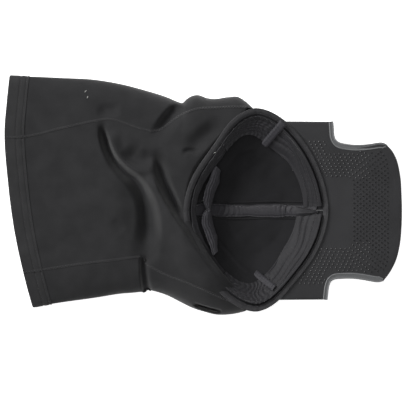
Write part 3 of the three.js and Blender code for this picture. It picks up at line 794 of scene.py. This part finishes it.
def under_level(x, y):
    """Where the seams underneath have their middle, just inside the chin panel."""
    return 0 * x + 0.6


def make_neck():
    nape = make_nape_panel()
    left = make_side_panel("left", 1)
    right = make_side_panel("right", -1)
    chin, chin_edge = make_chin_panel()
    hem_nape = hem_piece("neck_hem_nape_cloth", nape_turns, "neck_hem_nape", 70)
    hem_front = hem_piece("neck_hem_front_cloth", front_turns, "neck_hem_front", 150)
    seam_left = flatlock("nape_seam_left_ribbon", from_hem(LEFT_SEAM, -0.6), over_hem, "nape_seam_left")
    seam_right = flatlock("nape_seam_right_ribbon", from_hem(RIGHT_SEAM, -0.6), over_hem, "nape_seam_right")
    under = []
    for hand, way in (("left", 1), ("right", -1)):
        x = np.linspace(-226, 4, 40)
        y = (LEFT_SIDE(x) if way > 0 else RIGHT_SIDE(x)) - way * CHIN_INSET
        line = np.stack([x, y], -1)
        under += flatlock(f"chin_seam_{hand}_ribbon", line, under_level, f"chin_seam_{hand}", True, 1.5, 0.5)
    # Loose thread ends, two by the left seam and one by the rim.
    flecks = []
    for x, y, turn in ((-180.6, 125, 0.9), (-178.5, 118.6, 1.2), (-44.8, 60, 0.6)):
        far = 1.3
        a = np.array([x - far * math.cos(turn), y - far * math.sin(turn)])
        b = np.array([x + far * math.cos(turn), y + far * math.sin(turn)])
        flecks.append([[*q, tube_height(q[0], q[1]).item() + 0.35] for q in (a, (a + b) / 2, b)])
    lint = place(threads("lint", flecks, 0.28, pale_thread), "hood", None, "ribbon")


make_neck()


# ---- Crown and rim -------------------------------------------------------------------------------
def rounded(value):
    return np.sign(value) * np.abs(value) ** (2 / RIM_POWER)


def rim_point(angle, inset=0.0):
    x = RIM_MIDDLE + (RIM_HALF_LENGTH - inset) * rounded(np.cos(angle))
    y = (RIM_HALF_WIDTH - inset) * rounded(np.sin(angle))
    return np.stack([x, y, rim_height(x)], -1)


CROWN_HALF_LENGTH = RIM_HALF_LENGTH - CROWN_INSET
CROWN_HALF_WIDTH = RIM_HALF_WIDTH - CROWN_INSET
# Where the soft opening has slumped inwards: degrees from the front, how much, over how many degrees.
SLUMPS = [(137, 6.0, 25), (-50, 4.5, 28)]


def settle(points):
    """Draws points of the cap in towards its middle where the opening has slumped."""
    x, y = points[..., 0] - RIM_MIDDLE, points[..., 1]
    far = np.hypot(x, y)
    share = np.clip(far / RIM_HALF_LENGTH, 0, 1.2)
    degrees = np.degrees(np.arctan2(y / RIM_HALF_WIDTH, x / RIM_HALF_LENGTH))
    draw = sum(size * bell((degrees - at + 180) % 360 - 180, wide) for at, size, wide in SLUMPS)
    scale = 1 - draw * share**2 / np.maximum(far, 20)
    out = points.copy()
    out[..., 0] = RIM_MIDDLE + x * scale
    out[..., 1] = y * scale
    return out


# Soft folds of the crown, as seen from the opening: a line, its height, its spread.
CROWN_FOLDS = [
    (Path([(-46, -26), (-30, -45), (-17, -59), (-4, -68)]), 1.1, 1.6),
    (Path([(-38, 64), (-46, 44), (-50, 22)]), -1.6, 5.0),
    (Path([(0, 66), (-22, 60), (-36, 44)]), 1.0, 2.2),
    (Path([(10, 50), (2, 28), (6, 12)]), 0.7, 6.0),
    (Path([(-20, -14), (-6, -30), (12, -40)]), -0.8, 8.0),
]


def crown_height(x, y):
    share = (np.abs((x - RIM_MIDDLE) / CROWN_HALF_LENGTH) ** RIM_POWER
             + np.abs(y / CROWN_HALF_WIDTH) ** RIM_POWER) ** (1 / RIM_POWER)
    edge = rim_height(RIM_MIDDLE + (x - RIM_MIDDLE) / np.maximum(share, 0.1))
    climb = np.clip((share - CROWN_FLAT) / (1 - CROWN_FLAT), 0, None) ** CROWN_CURVE
    return mix(CROWN_FLOOR, edge, np.minimum(climb, 1.03))


def crown_folds(x, y):
    shift = undulation(x, y, 0.25, 9.0)
    for line, size, wide in CROWN_FOLDS:
        off, share = line.beside(x, y)
        shift = shift + size * ease(share / 0.2) * ease((1 - share) / 0.2) * bell(off, wide)
    return np.maximum(shift, -2.0)


def on_crown(x, y, lift, folds=0.0):
    """Points that far above the crown's inner face, along its normal."""
    step = 0.4
    height = crown_height(x, y)
    slope_x = (crown_height(x + step, y) - crown_height(x - step, y)) / (2 * step)
    slope_y = (crown_height(x, y + step) - crown_height(x, y - step)) / (2 * step)
    upright = unit(np.stack([-slope_x, -slope_y, np.ones_like(slope_x)], -1))
    base = np.stack([x, y, height + folds], -1)
    return settle(base + upright * np.asarray(lift)[..., None])


def crown_point(degrees, share, lift):
    edge = rim_point(np.radians(degrees), CROWN_INSET)
    return on_crown(mix(RIM_MIDDLE, edge[..., 0], share), edge[..., 1] * share, lift)


def make_crown():
    halves = []
    for hand, way in (("left", 1), ("right", -1)):
        u, v = grid(110, 70)
        angle = mix(np.pi - 0.12, 0.12, u) if way > 0 else mix(0.12, np.pi - 0.12, u)
        edge = rim_point(angle, CROWN_INSET)
        x, y = edge[..., 0], way * mix(0.05, np.abs(edge[..., 1]), v)
        calm = ease((1 - v) / 0.3) * ease(v / 0.12)
        points = np.stack([x, y, crown_height(x, y) + crown_folds(x, y) * calm], -1)
        # the two halves turn down into each other along the middle seam
        points[..., 2] -= 0.9 * bell(y, 0.8)
        piece = cloth(f"crown_{hand}_lining", settle(points), CLOTH * 0.8, lining, fleece)
        halves.append(place(piece, "hood", f"crown_{hand}_half", "lining"))
    return halves


TAPE_HALF = 6.4


def make_tape():
    """The tape along the middle seam, puckered across, with a line of thread near each edge."""
    u, v = grid(220, 26)
    end = 0.93 * CROWN_HALF_LENGTH
    x = RIM_MIDDLE + mix(-end, end * 0.98, u)
    width = TAPE_HALF + 0.5 * np.sin(x / 9.0) + 0.25 * np.sin(x / 3.1 + 1)
    y = 1.5 * bell(x + 54, 12) - 0.6 + (v - 0.5) * 2 * width
    cell = x / 4.4 + 0.7 * np.sin(x / 11.0) + 0.5 * np.sin(y / 5 + x / 17)
    gather = 0.12 + 0.7 * bell(x + 28, 12) + 0.9 * bell(x - 30, 8)
    pucker = gather * (0.42 * np.sin(2 * np.pi * cell) + 0.2 * np.sin(2 * np.pi * cell * 2.3 + y / 3))
    side = (v - 0.5) * 2
    lift = 1.5 + pucker * (1 - side**4) + 0.55 * (1 - side**2)
    lift = lift - 0.35 * bell(np.abs(side) - 0.82, 0.08)
    points = on_crown(x, y, lift)
    tape = place(cloth("crown_tape", points, 0.8, satin_tape), "hood", "crown_seam_tape", "ribbon")
    lines = []
    for row in (2, 23):
        lines += stitches_along(Path(points[::3, row], 3), 3.2, 0.35, 0.12)
    stitches = place(threads("crown_tape_stitches", lines, 0.2, dark_thread, 4), "hood", None, "ribbon")
    # the seam allowances show beside the tape as two low welts
    welts = []
    for off in (-9.0, 8.6):
        along = np.linspace(RIM_MIDDLE - 0.86 * CROWN_HALF_LENGTH, RIM_MIDDLE + 0.7 * CROWN_HALF_LENGTH, 70)
        welts.append(on_crown(along, off + 0.5 * np.sin(along / 13), np.full_like(along, 0.35)))
    welt = place(threads("crown_seam_welts", welts, 0.75, lining, 8), "hood", None, "lining")
    return [tape, stitches, welt]


def make_rim():
    """The bound edge round the opening: a flattened roll, with a stitched groove near each side."""
    turns, around = 240, 20
    angle = np.linspace(0, 2 * np.pi, turns, endpoint=False)
    wide, thick, groove_at = 3.3, 1.1, 1.9
    middle = settle(rim_point(angle, wide))
    ahead = unit(np.roll(middle, -1, 0) - np.roll(middle, 1, 0))
    outward = unit(np.stack([ahead[:, 1], -ahead[:, 0], 0 * angle], -1))
    outward[:, 2] = 0.28  # it leans up as it goes out
    outward = unit(outward)
    up = np.cross(outward, ahead)
    up *= np.sign(up[:, 2:3])
    turn = np.linspace(0, 2 * np.pi, around, endpoint=False)
    across = wide * np.sign(np.cos(turn)) * np.abs(np.cos(turn)) ** 0.8
    over = thick * np.sign(np.sin(turn)) * np.abs(np.sin(turn)) ** 0.7
    top = np.sin(turn) > 0.1
    groove = bell(np.abs(across) - groove_at, 0.45) * top
    over = over - 0.45 * groove
    ripple = 0.12 * np.sin(angle * 47) + 0.1 * np.sin(angle * 23 + 1)
    rings = (middle[:, None] + outward[:, None] * across[None, :, None]
             + up[:, None] * (over[None, :] + ripple[:, None] * top[None, :])[..., None])
    faces = []
    for i in range(turns):
        for k in range(around):
            a, b = i * around + k, i * around + (k + 1) % around
            c, d = (i + 1) % turns * around + (k + 1) % around, (i + 1) % turns * around + k
            faces.append((a, d, c, b))
    rim = finish_mesh("rim_binding_tape", rings.reshape(-1, 3), faces, binding)
    place(rim, "hood", "crown_rim_cord", "ribbon")
    lines = []
    for offset in (-groove_at, groove_at):
        rail = middle + outward * offset + up * (thick - 0.5)
        lines += stitches_along(Path(np.vstack([rail, rail[:1]]), 2), 3.4, 0.38)
    stitches = place(threads("rim_binding_stitches", lines, 0.24, thread, 4), "hood", None, "ribbon")
    return [rim, stitches]


# The sweatband's lower edge: degrees from the front, share of the crown's radius.
BAND_FOOT = {
    "left": spline([
        (0, 0.72), (20, 0.745), (45, 0.75), (65, 0.72), (90, 0.78), (110, 0.85), (128, 0.87), (150, 0.9),
    ]),
    "right": spline([
        (0, 0.62), (20, 0.635), (45, 0.655), (65, 0.70), (90, 0.76), (110, 0.82), (128, 0.85), (150, 0.9),
    ]),
}
BAND_TOP = 1.0
BAND_FRONT = 4.0  # degrees from the front
BAND_BACK = 128.0
BAND_LIFT = 3.1


def pleats(share, degrees, count, depth, seed):
    """Lengthwise pleats across a band: rounded rolls with sharp grooves between them, closer near the rim."""
    turn = np.radians(degrees)
    wander = 0.3 * np.sin(turn * 4 + seed) + 0.14 * np.sin(turn * 11 + 2 * seed)
    cell = share**1.35 * count + wander * np.sin(np.pi * share) ** 0.7
    roll = np.abs(np.sin(np.pi * cell))
    size = 0.7 + 0.3 * np.sin(turn * 6 + np.floor(cell) * 1.9 + seed)
    return depth * size * (roll**0.55 - 0.5)


def make_band():
    pieces = []
    for hand, way in (("left", 1), ("right", -1)):
        u, v = grid(64, 260)
        degrees = mix(BAND_FRONT, BAND_BACK - 0.3, v)
        foot = BAND_FOOT[hand](degrees)
        share = mix(foot, BAND_TOP, u)
        # fewer deep pleats in front of the side tab, many shallow ones behind it
        behind = ease((degrees - 66) / 5)
        front = pleats(u, degrees * way, 4.0, 1.6, 1.0 if way > 0 else 2.3)
        back = pleats(u, degrees * way, 7.0, 0.9, 0.4)
        bumps = mix(front, back, behind)
        bumps = bumps + 0.06 * np.sin(degrees * 1.9 + 9 * u) * np.sin(np.pi * u)
        bumps = bumps + behind * 0.2 * np.sin(np.radians(degrees) * 60 + 3 * np.sin(9 * u))
        pinch = bell(degrees - BAND_FRONT, 7)
        bumps = bumps - 1.1 * pinch * np.sin(np.pi * u)
        ends = ease((degrees - BAND_FRONT) / 5) * ease((BAND_BACK - degrees) / 12)
        roll = 0.9 * bell(u, 0.07) + 1.8 * ends * bell(1 - u, 0.1)
        lift = BAND_LIFT + bumps + roll
        points = crown_point(degrees * way, share, lift)
        if way > 0:
            points = points[:, ::-1]
        piece = cloth(f"sweatband_{hand}_cloth", points[:, ::-1], 1.4, band_cloth)
        place(piece, "hood", f"sweatband_{hand}", "ribbon")
        pieces.append(piece)
        lines = []
        for k in (1, 3, 4):
            angle = np.linspace(9, 62, 60)
            at = (k / 5.0) ** 0.75 + 0.03 * np.sin(np.radians(angle * way) * 4 + k)
            rail = crown_point(angle * way, mix(BAND_FOOT[hand](angle), BAND_TOP, at), 3.3 + 0 * angle)
            lines += stitches_along(Path(rail, 3), 2.6)
        stitches = threads(f"sweatband_{hand}_stitches", lines, 0.17, thread, 4)
        pieces.append(place(stitches, "hood", None, "ribbon"))

    # the gathered back length, which narrows up to the rim at the nape
    u, v = grid(40, 220)
    degrees = mix(BAND_BACK + 0.3, 360 - BAND_BACK - 0.3, v)
    near = ease(np.abs(2 * v - 1))
    foot = mix(0.93, np.where(v < 0.5, 0.872, 0.852), near)
    share = mix(foot, BAND_TOP, u)
    bumps = pleats(u, degrees, 4.0, 1.0, 0.8) + 0.35 * np.sin(np.radians(degrees) * 38 + 4 * u)
    points = crown_point(degrees, share, BAND_LIFT + bumps * mix(0.5, 1.0, near))
    piece = cloth("sweatband_back_cloth", points, 1.3, band_cloth)
    pieces.append(place(piece, "hood", "sweatband_back", "ribbon"))

    # the fold over the front join: a pinched triangle with its seam beside it
    u, v = grid(44, 30)
    x = mix(42.0, 64.5, u)
    y = mix(mix(-8.0, -3.6, u), mix(5.0, -0.6, u**0.75), v)
    crest = bell(v - mix(0.35, 0.5, u), mix(0.34, 0.3, u))
    rays = 0.35 * np.sin(np.pi * (v * 6 + 0.4)) * np.sin(np.pi * u)
    tip = 2.4 * ease((u - 0.75) / 0.25)
    lift = 3.9 - tip + 1.1 * crest * (0.75 + 0.25 * np.sin(np.pi * u)) + rays - 1.6 * bell(v, 0.12)
    points = on_crown(x, y, lift)
    piece = cloth("sweatband_join", points, 1.2, band_cloth)
    pieces.append(place(piece, "hood", "sweatband_front_join", "ribbon"))
    return pieces


def make_elastic():
    """The nape elastic, gathered tight, with its waist where it crosses the tape."""
    u, v = grid(46, 200)
    degrees = mix(142.0, 217.0, v)
    far = np.abs(2 * v - 1)
    waist = bell(far, 0.16)
    end = ease((far - 0.72) / 0.28)
    foot = 0.715 + 0.03 * waist + 0.075 * end
    top = 0.865 - 0.078 * waist + 0.02 * end
    share = mix(foot, top, u)
    along = np.radians(degrees)
    wander = u * 4.5 + 0.3 * np.sin(along * 9) + 0.12 * np.sin(along * 31)
    ribs = 0.55 * np.abs(np.sin(np.pi * wander)) ** 0.7
    gather = 0.28 * np.sin(along * 58 + 4 * u + 1.5 * np.sin(8 * u + along * 6))
    lift = 5.0 + ribs + gather * (0.4 + waist) + 1.7 * np.sin(np.pi * u) * (1 - 0.6 * end) + 0.8 * waist
    piece = cloth("nape_elastic_ribbon", crown_point(degrees, share, lift), 2.0, elastic_cloth)
    return [place(piece, "hood", "nape_elastic", "ribbon")]


def make_tabs():
    pieces = []
    ends = {"left": [(26.0, 91.5), (7.4, 70.4)], "right": [(19.0, -86.5), (-3.0, -68.0)]}
    for hand, width in (("left", 8.4), ("right", 6.8)):
        start, stop = (np.array(q, float) for q in ends[hand])
        run = stop - start
        long = np.linalg.norm(run)
        run /= long
        across = np.array([-run[1], run[0]])
        u, v = grid(40, 18)
        side = (v - 0.5) * 2
        tip = 1 - 0.18 * ease((u - 0.93) / 0.07)
        flat = start + run * (u * long)[..., None] + across * (side * width / 2 * tip)[..., None]
        lift = 5.0 + 1.0 * (1 - np.abs(side) ** 5) - 0.35 * bell(np.abs(side) - 0.78, 0.1)
        lift = lift + 0.15 * np.sin(u * 60) + 0.8 * ease(u / 0.2)
        points = on_crown(flat[..., 0], flat[..., 1], lift)
        normal = normals_of(points)
        if normal[..., 2].mean() < 0:
            points = points[:, ::-1]
        piece = cloth(f"side_tab_{hand}_tape", points, 1.1, elastic_cloth)
        pieces.append(place(piece, "hood", f"side_tab_{hand}", "ribbon"))
    return pieces


def make_cap():
    left, right = make_crown()
    tape = make_tape()
    rim = make_rim()
    bands = make_band()
    elastic = make_elastic()
    tabs = make_tabs()


make_cap()


# ---- Visor ---------------------------------------------------------------------------------------
VISOR_THICKNESS = 3.6
VISOR_SLOPE = math.tan(math.radians(10.0))
FOLD_X = 82.0  # the tongue and the fixed part meet here, where the tongue can bend
ROOT_TUCK = 3.0  # how far the fixed part reaches in under the rim


def visor_top(x):
    return RIM_FRONT_HEIGHT - (x - rim_high[0]) * VISOR_SLOPE


# The cut edge at each side: down the fixed part's end, round the notch's corner and along the tongue.
NOTCH = {
    "left": Path([
        (79.6, 93.4), (80.3, 86), (80.7, 79), (82.2, 74.4), (86.2, 71.2), (93.6, 69.5), (103.8, 68.6),
        (116.3, 69.3), (128.8, 71.2), (134, 70.6), (137.4, 68.6),
    ]),
    "right": Path([
        (73.4, -94.4), (74.2, -87), (75.2, -80.4), (77.4, -75), (81.7, -72.7), (88, -72.1), (99.3, -72),
        (110.7, -73.3), (119.7, -75), (127, -76), (133.2, -74.8),
    ]),
}
FRONT = Path([
    (133.2, -74.8), (140.3, -65.6), (147, -52.5), (151.1, -35.6), (152.8, -17), (153.2, 0), (152.8, 15),
    (151.8, 32.8), (148.6, 49.9), (143.7, 61), (137.4, 68.6),
])


def beyond_fold(path, outward):
    """The part of a notch line past the fold, or before it."""
    line = path.line
    keep = line[:, 0] > FOLD_X
    first = np.argmax(keep)
    t = (FOLD_X - line[first - 1, 0]) / (line[first, 0] - line[first - 1, 0])
    cross = mix(line[first - 1], line[first], t)
    return Path(np.vstack([cross, line[first::4], line[-1:]]), 4) if outward else line[:first]


def rim_front_x(y):
    """Where the rim's outer face is, in front, for a place across."""
    edge = settle(rim_point(np.linspace(-np.pi / 2, np.pi / 2, 400)))
    return np.interp(y, edge[:, 1], edge[:, 0])


def visor_sway(x, y):
    """How far the visor's cloth rises off its even slope."""
    return 0.12 * np.sin(x / 13 + y / 17) + 0.1 * np.sin(y / 9 + 1) + 0.25 * np.cos(y / 40)


def visor_skin(points, near_edge):
    """Raises a plan to the visor's upper face, softly rounded off towards its free edge."""
    x, y = points[..., 0], points[..., 1]
    soft = visor_sway(x, y)
    drop = 1.9 * (1 - np.sqrt(np.clip(1 - np.clip(1 - near_edge / 2.2, 0, 1) ** 2, 0, 1)))
    return np.concatenate([points, (visor_top(x) + soft * ease(near_edge / 5) - drop)[..., None]], -1)


def make_visor():
    left, right = (beyond_fold(NOTCH[hand], True) for hand in ("left", "right"))
    start = Path([right.line[0], (right.line[0] + left.line[0]) / 2, left.line[0]])
    flat = coons(right, left, start, FRONT, 90, 120)
    gap = np.linalg.norm(flat - flat[-1:], axis=-1)
    top = visor_skin(flat, gap)
    drop = (visor_top(top[..., 0]) - top[..., 2]).clip(0, 1.6)
    low = top.copy()
    low[..., 2] = top[..., 2] - (VISOR_THICKNESS - 2 * drop)
    inner = top.copy()
    inner[..., 2] = (top[..., 2] + low[..., 2]) / 2 + 0.7
    upper = cloth("visor_tongue_upper_cloth", top, 0.75, visor_knit)
    lower = cloth("visor_tongue_lower_cloth", low[:, ::-1], 0.75, visor_knit)
    foam = cloth("visor_tongue_foam", inner[:-3, 3:-3], 1.4, foam_core)

    v, u = grid(120, 26)
    y = mix(NOTCH["right"].line[0, 1] + 0.4, NOTCH["left"].line[0, 1] - 0.4, v).T
    u = u.T
    end = np.full_like(y, FOLD_X)
    for hand, way in (("left", 1), ("right", -1)):
        line = beyond_fold(NOTCH[hand], False)
        order = np.argsort(way * line[:, 1])
        edge = np.interp(way * y, way * line[order, 1], line[order, 0])
        reach = abs(beyond_fold(NOTCH[hand], True).line[0, 1])
        end = np.where(way * y > reach, edge, end)
    begin = rim_front_x(y) - ROOT_TUCK
    flat = np.stack([mix(begin, end, u), y], -1)
    far_side = np.minimum(np.abs(y - y.min()), np.abs(y - y.max()))
    top = visor_skin(flat, far_side)
    root = cloth("visor_root_cloth", top, VISOR_THICKNESS, visor_knit)
    return upper, lower, foam, root


def make_binding(hand, way):
    """A folded tape over the cut edge of the notch, with a pale selvedge along each side."""
    path = NOTCH[hand]
    count, around = 130, 20
    share = np.linspace(0, 1, count)
    edge = path.at(share)
    ahead = unit(np.gradient(edge, axis=0))
    inward = np.stack([ahead[:, 1], -ahead[:, 0]], -1) * way
    outside = 0.3  # how far the tape stands out past the cut edge
    turn = np.linspace(0, 2 * np.pi, around, endpoint=False)
    half = mix(2.75, 3.5, ease((share - 0.22) / 0.12)) * (1 - 0.5 * ease((share - 0.95) / 0.05))
    side = np.sign(np.cos(turn)) * np.abs(np.cos(turn)) ** 0.7
    over = 2.3 * np.sign(np.sin(turn)) * np.abs(np.sin(turn)) ** 0.55
    over = over * (1 - 0.22 * bell(side, 0.5))
    plan = edge[:, None] + inward[:, None] * ((side[None] + 1) * half[:, None] - outside)[..., None]
    z = visor_top(plan[..., 0]) - VISOR_THICKNESS / 2 + over[None]
    rings = np.concatenate([plan, z[..., None]], -1)
    faces = tube_faces(0, count, around)
    if way > 0:
        faces = [(first, *rest[::-1]) for first, *rest in faces]
    tape = finish_mesh(f"notch_binding_{hand}", rings.reshape(-1, 3), faces, grey_tape)
    rails = []
    for at in (0.16, 0.8):
        rail = edge + inward * (2 * half * at - outside)[:, None]
        z = visor_top(rail[:, 0]) - VISOR_THICKNESS / 2 + 2.05
        rails.append(np.column_stack([rail, z]))
    selvedge = threads(f"notch_binding_{hand}_selvedge", rails, 0.5, grey_edge, 8)
    return tape, selvedge


def make_perforations():
    """Small knitted eyelets in staggered rows that follow the visor's outline. Each has a dark middle of
    painted shade, as inside a hole, and those near the sides also have a pale dot of painted light coming
    through.
    """
    rows, row_gap, pitch = 12, 3.27, 4.9
    spots = []
    for k in range(rows):
        high, low, front = 72.0 - row_gap * k, -76.5 + row_gap * k, 137.5 - row_gap * k
        radius = max(7.0, 30.0 - 2.0 * k)
        turn = np.linspace(0, np.pi / 2, 9)
        line = [(rim_front_x(high), high)]
        line += [(front - radius + radius * math.sin(t), high - radius + radius * math.cos(t)) for t in turn]
        line += [(front - radius + radius * math.cos(t), low + radius - radius * math.sin(t)) for t in turn]
        line += [(rim_front_x(low), low)]
        line = np.array(line)
        far = np.concatenate([[0], np.cumsum(np.linalg.norm(np.diff(line, axis=0), axis=1))])
        middle = np.interp(0, -line[:, 1], far)
        at = middle + np.arange(-60, 60) * pitch + (pitch / 2 if k % 2 else 0)
        at = at[(at > 0) & (at < far[-1])]
        spots += list(zip(np.interp(at, far, line[:, 0]), np.interp(at, far, line[:, 1])))
    rims, holes, glints = ([], []), ([], []), ([], [])
    sides = 10
    turn = np.linspace(0, 2 * np.pi, sides, endpoint=False)
    ring = np.stack([np.cos(turn), np.sin(turn)], -1)

    def turned(solid, x, y, profile):
        """Adds a small round solid, from the middle of its underside to the middle of its top."""
        vertices, faces = solid
        start = len(vertices)
        for radius, rise in profile:
            level = visor_top(x) + visor_sway(x, y)
            vertices.extend((px, py, level + rise) for px, py in np.array([x, y]) + ring * radius)
        faces.extend(tube_faces(start, len(profile), sides))

    for x, y in spots:
        clear_of_binding = abs(y) < 62 or x < 71.5
        in_root = rim_front_x(y) + 3.0 < x < FOLD_X and clear_of_binding
        in_tongue = x >= FOLD_X and -65.5 < y < 62.0
        if not (in_root or in_tongue):
            continue
        turned(rims, x, y, ((1.15, -0.3), (1.15, 0.1), (0.98, 0.34), (0.85, 0.3)))
        # a dark disc of fleece: painted shade inside the hole
        turned(holes, x, y, ((0.8, -0.4), (0.8, 0.345)))
        # near the sides, a pale disc on top: painted light coming through the hole
        if abs(y) > 34 and x < 118:
            turned(glints, x, y, ((0.42, 0.0), (0.42, 0.4)))
    return (
        finish_mesh("visor_eyelets", *rims, visor_knit),
        finish_mesh("visor_eyelet_painted_hole_shade", *holes, fleece),
        finish_mesh("visor_eyelet_glints", *glints, painted_glint_cloth),
    )


def bend_with_visor(piece):
    """Bakes the piece's transform into its mesh."""
    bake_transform(piece)
    return piece


def make_visor_pieces():
    upper, lower, foam, root = make_visor()
    for piece, node in ((upper, "visor_upper_knit"), (lower, "visor_lower_knit"), (root, "visor_root")):
        bend_with_visor(piece)
        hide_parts(node)
    bend_with_visor(foam)
    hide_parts("visor_foam")
    parts = []
    for hand, way in (("left", 1), ("right", -1)):
        tape, selvedge = make_binding(hand, way)
        bend_with_visor(tape)
        bend_with_visor(selvedge)
        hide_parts(f"root_binding_{hand}", f"tongue_binding_{hand}")
        parts += [tape, selvedge]
    holes = make_perforations()
    for piece in holes:
        bend_with_visor(piece)


make_visor_pieces()
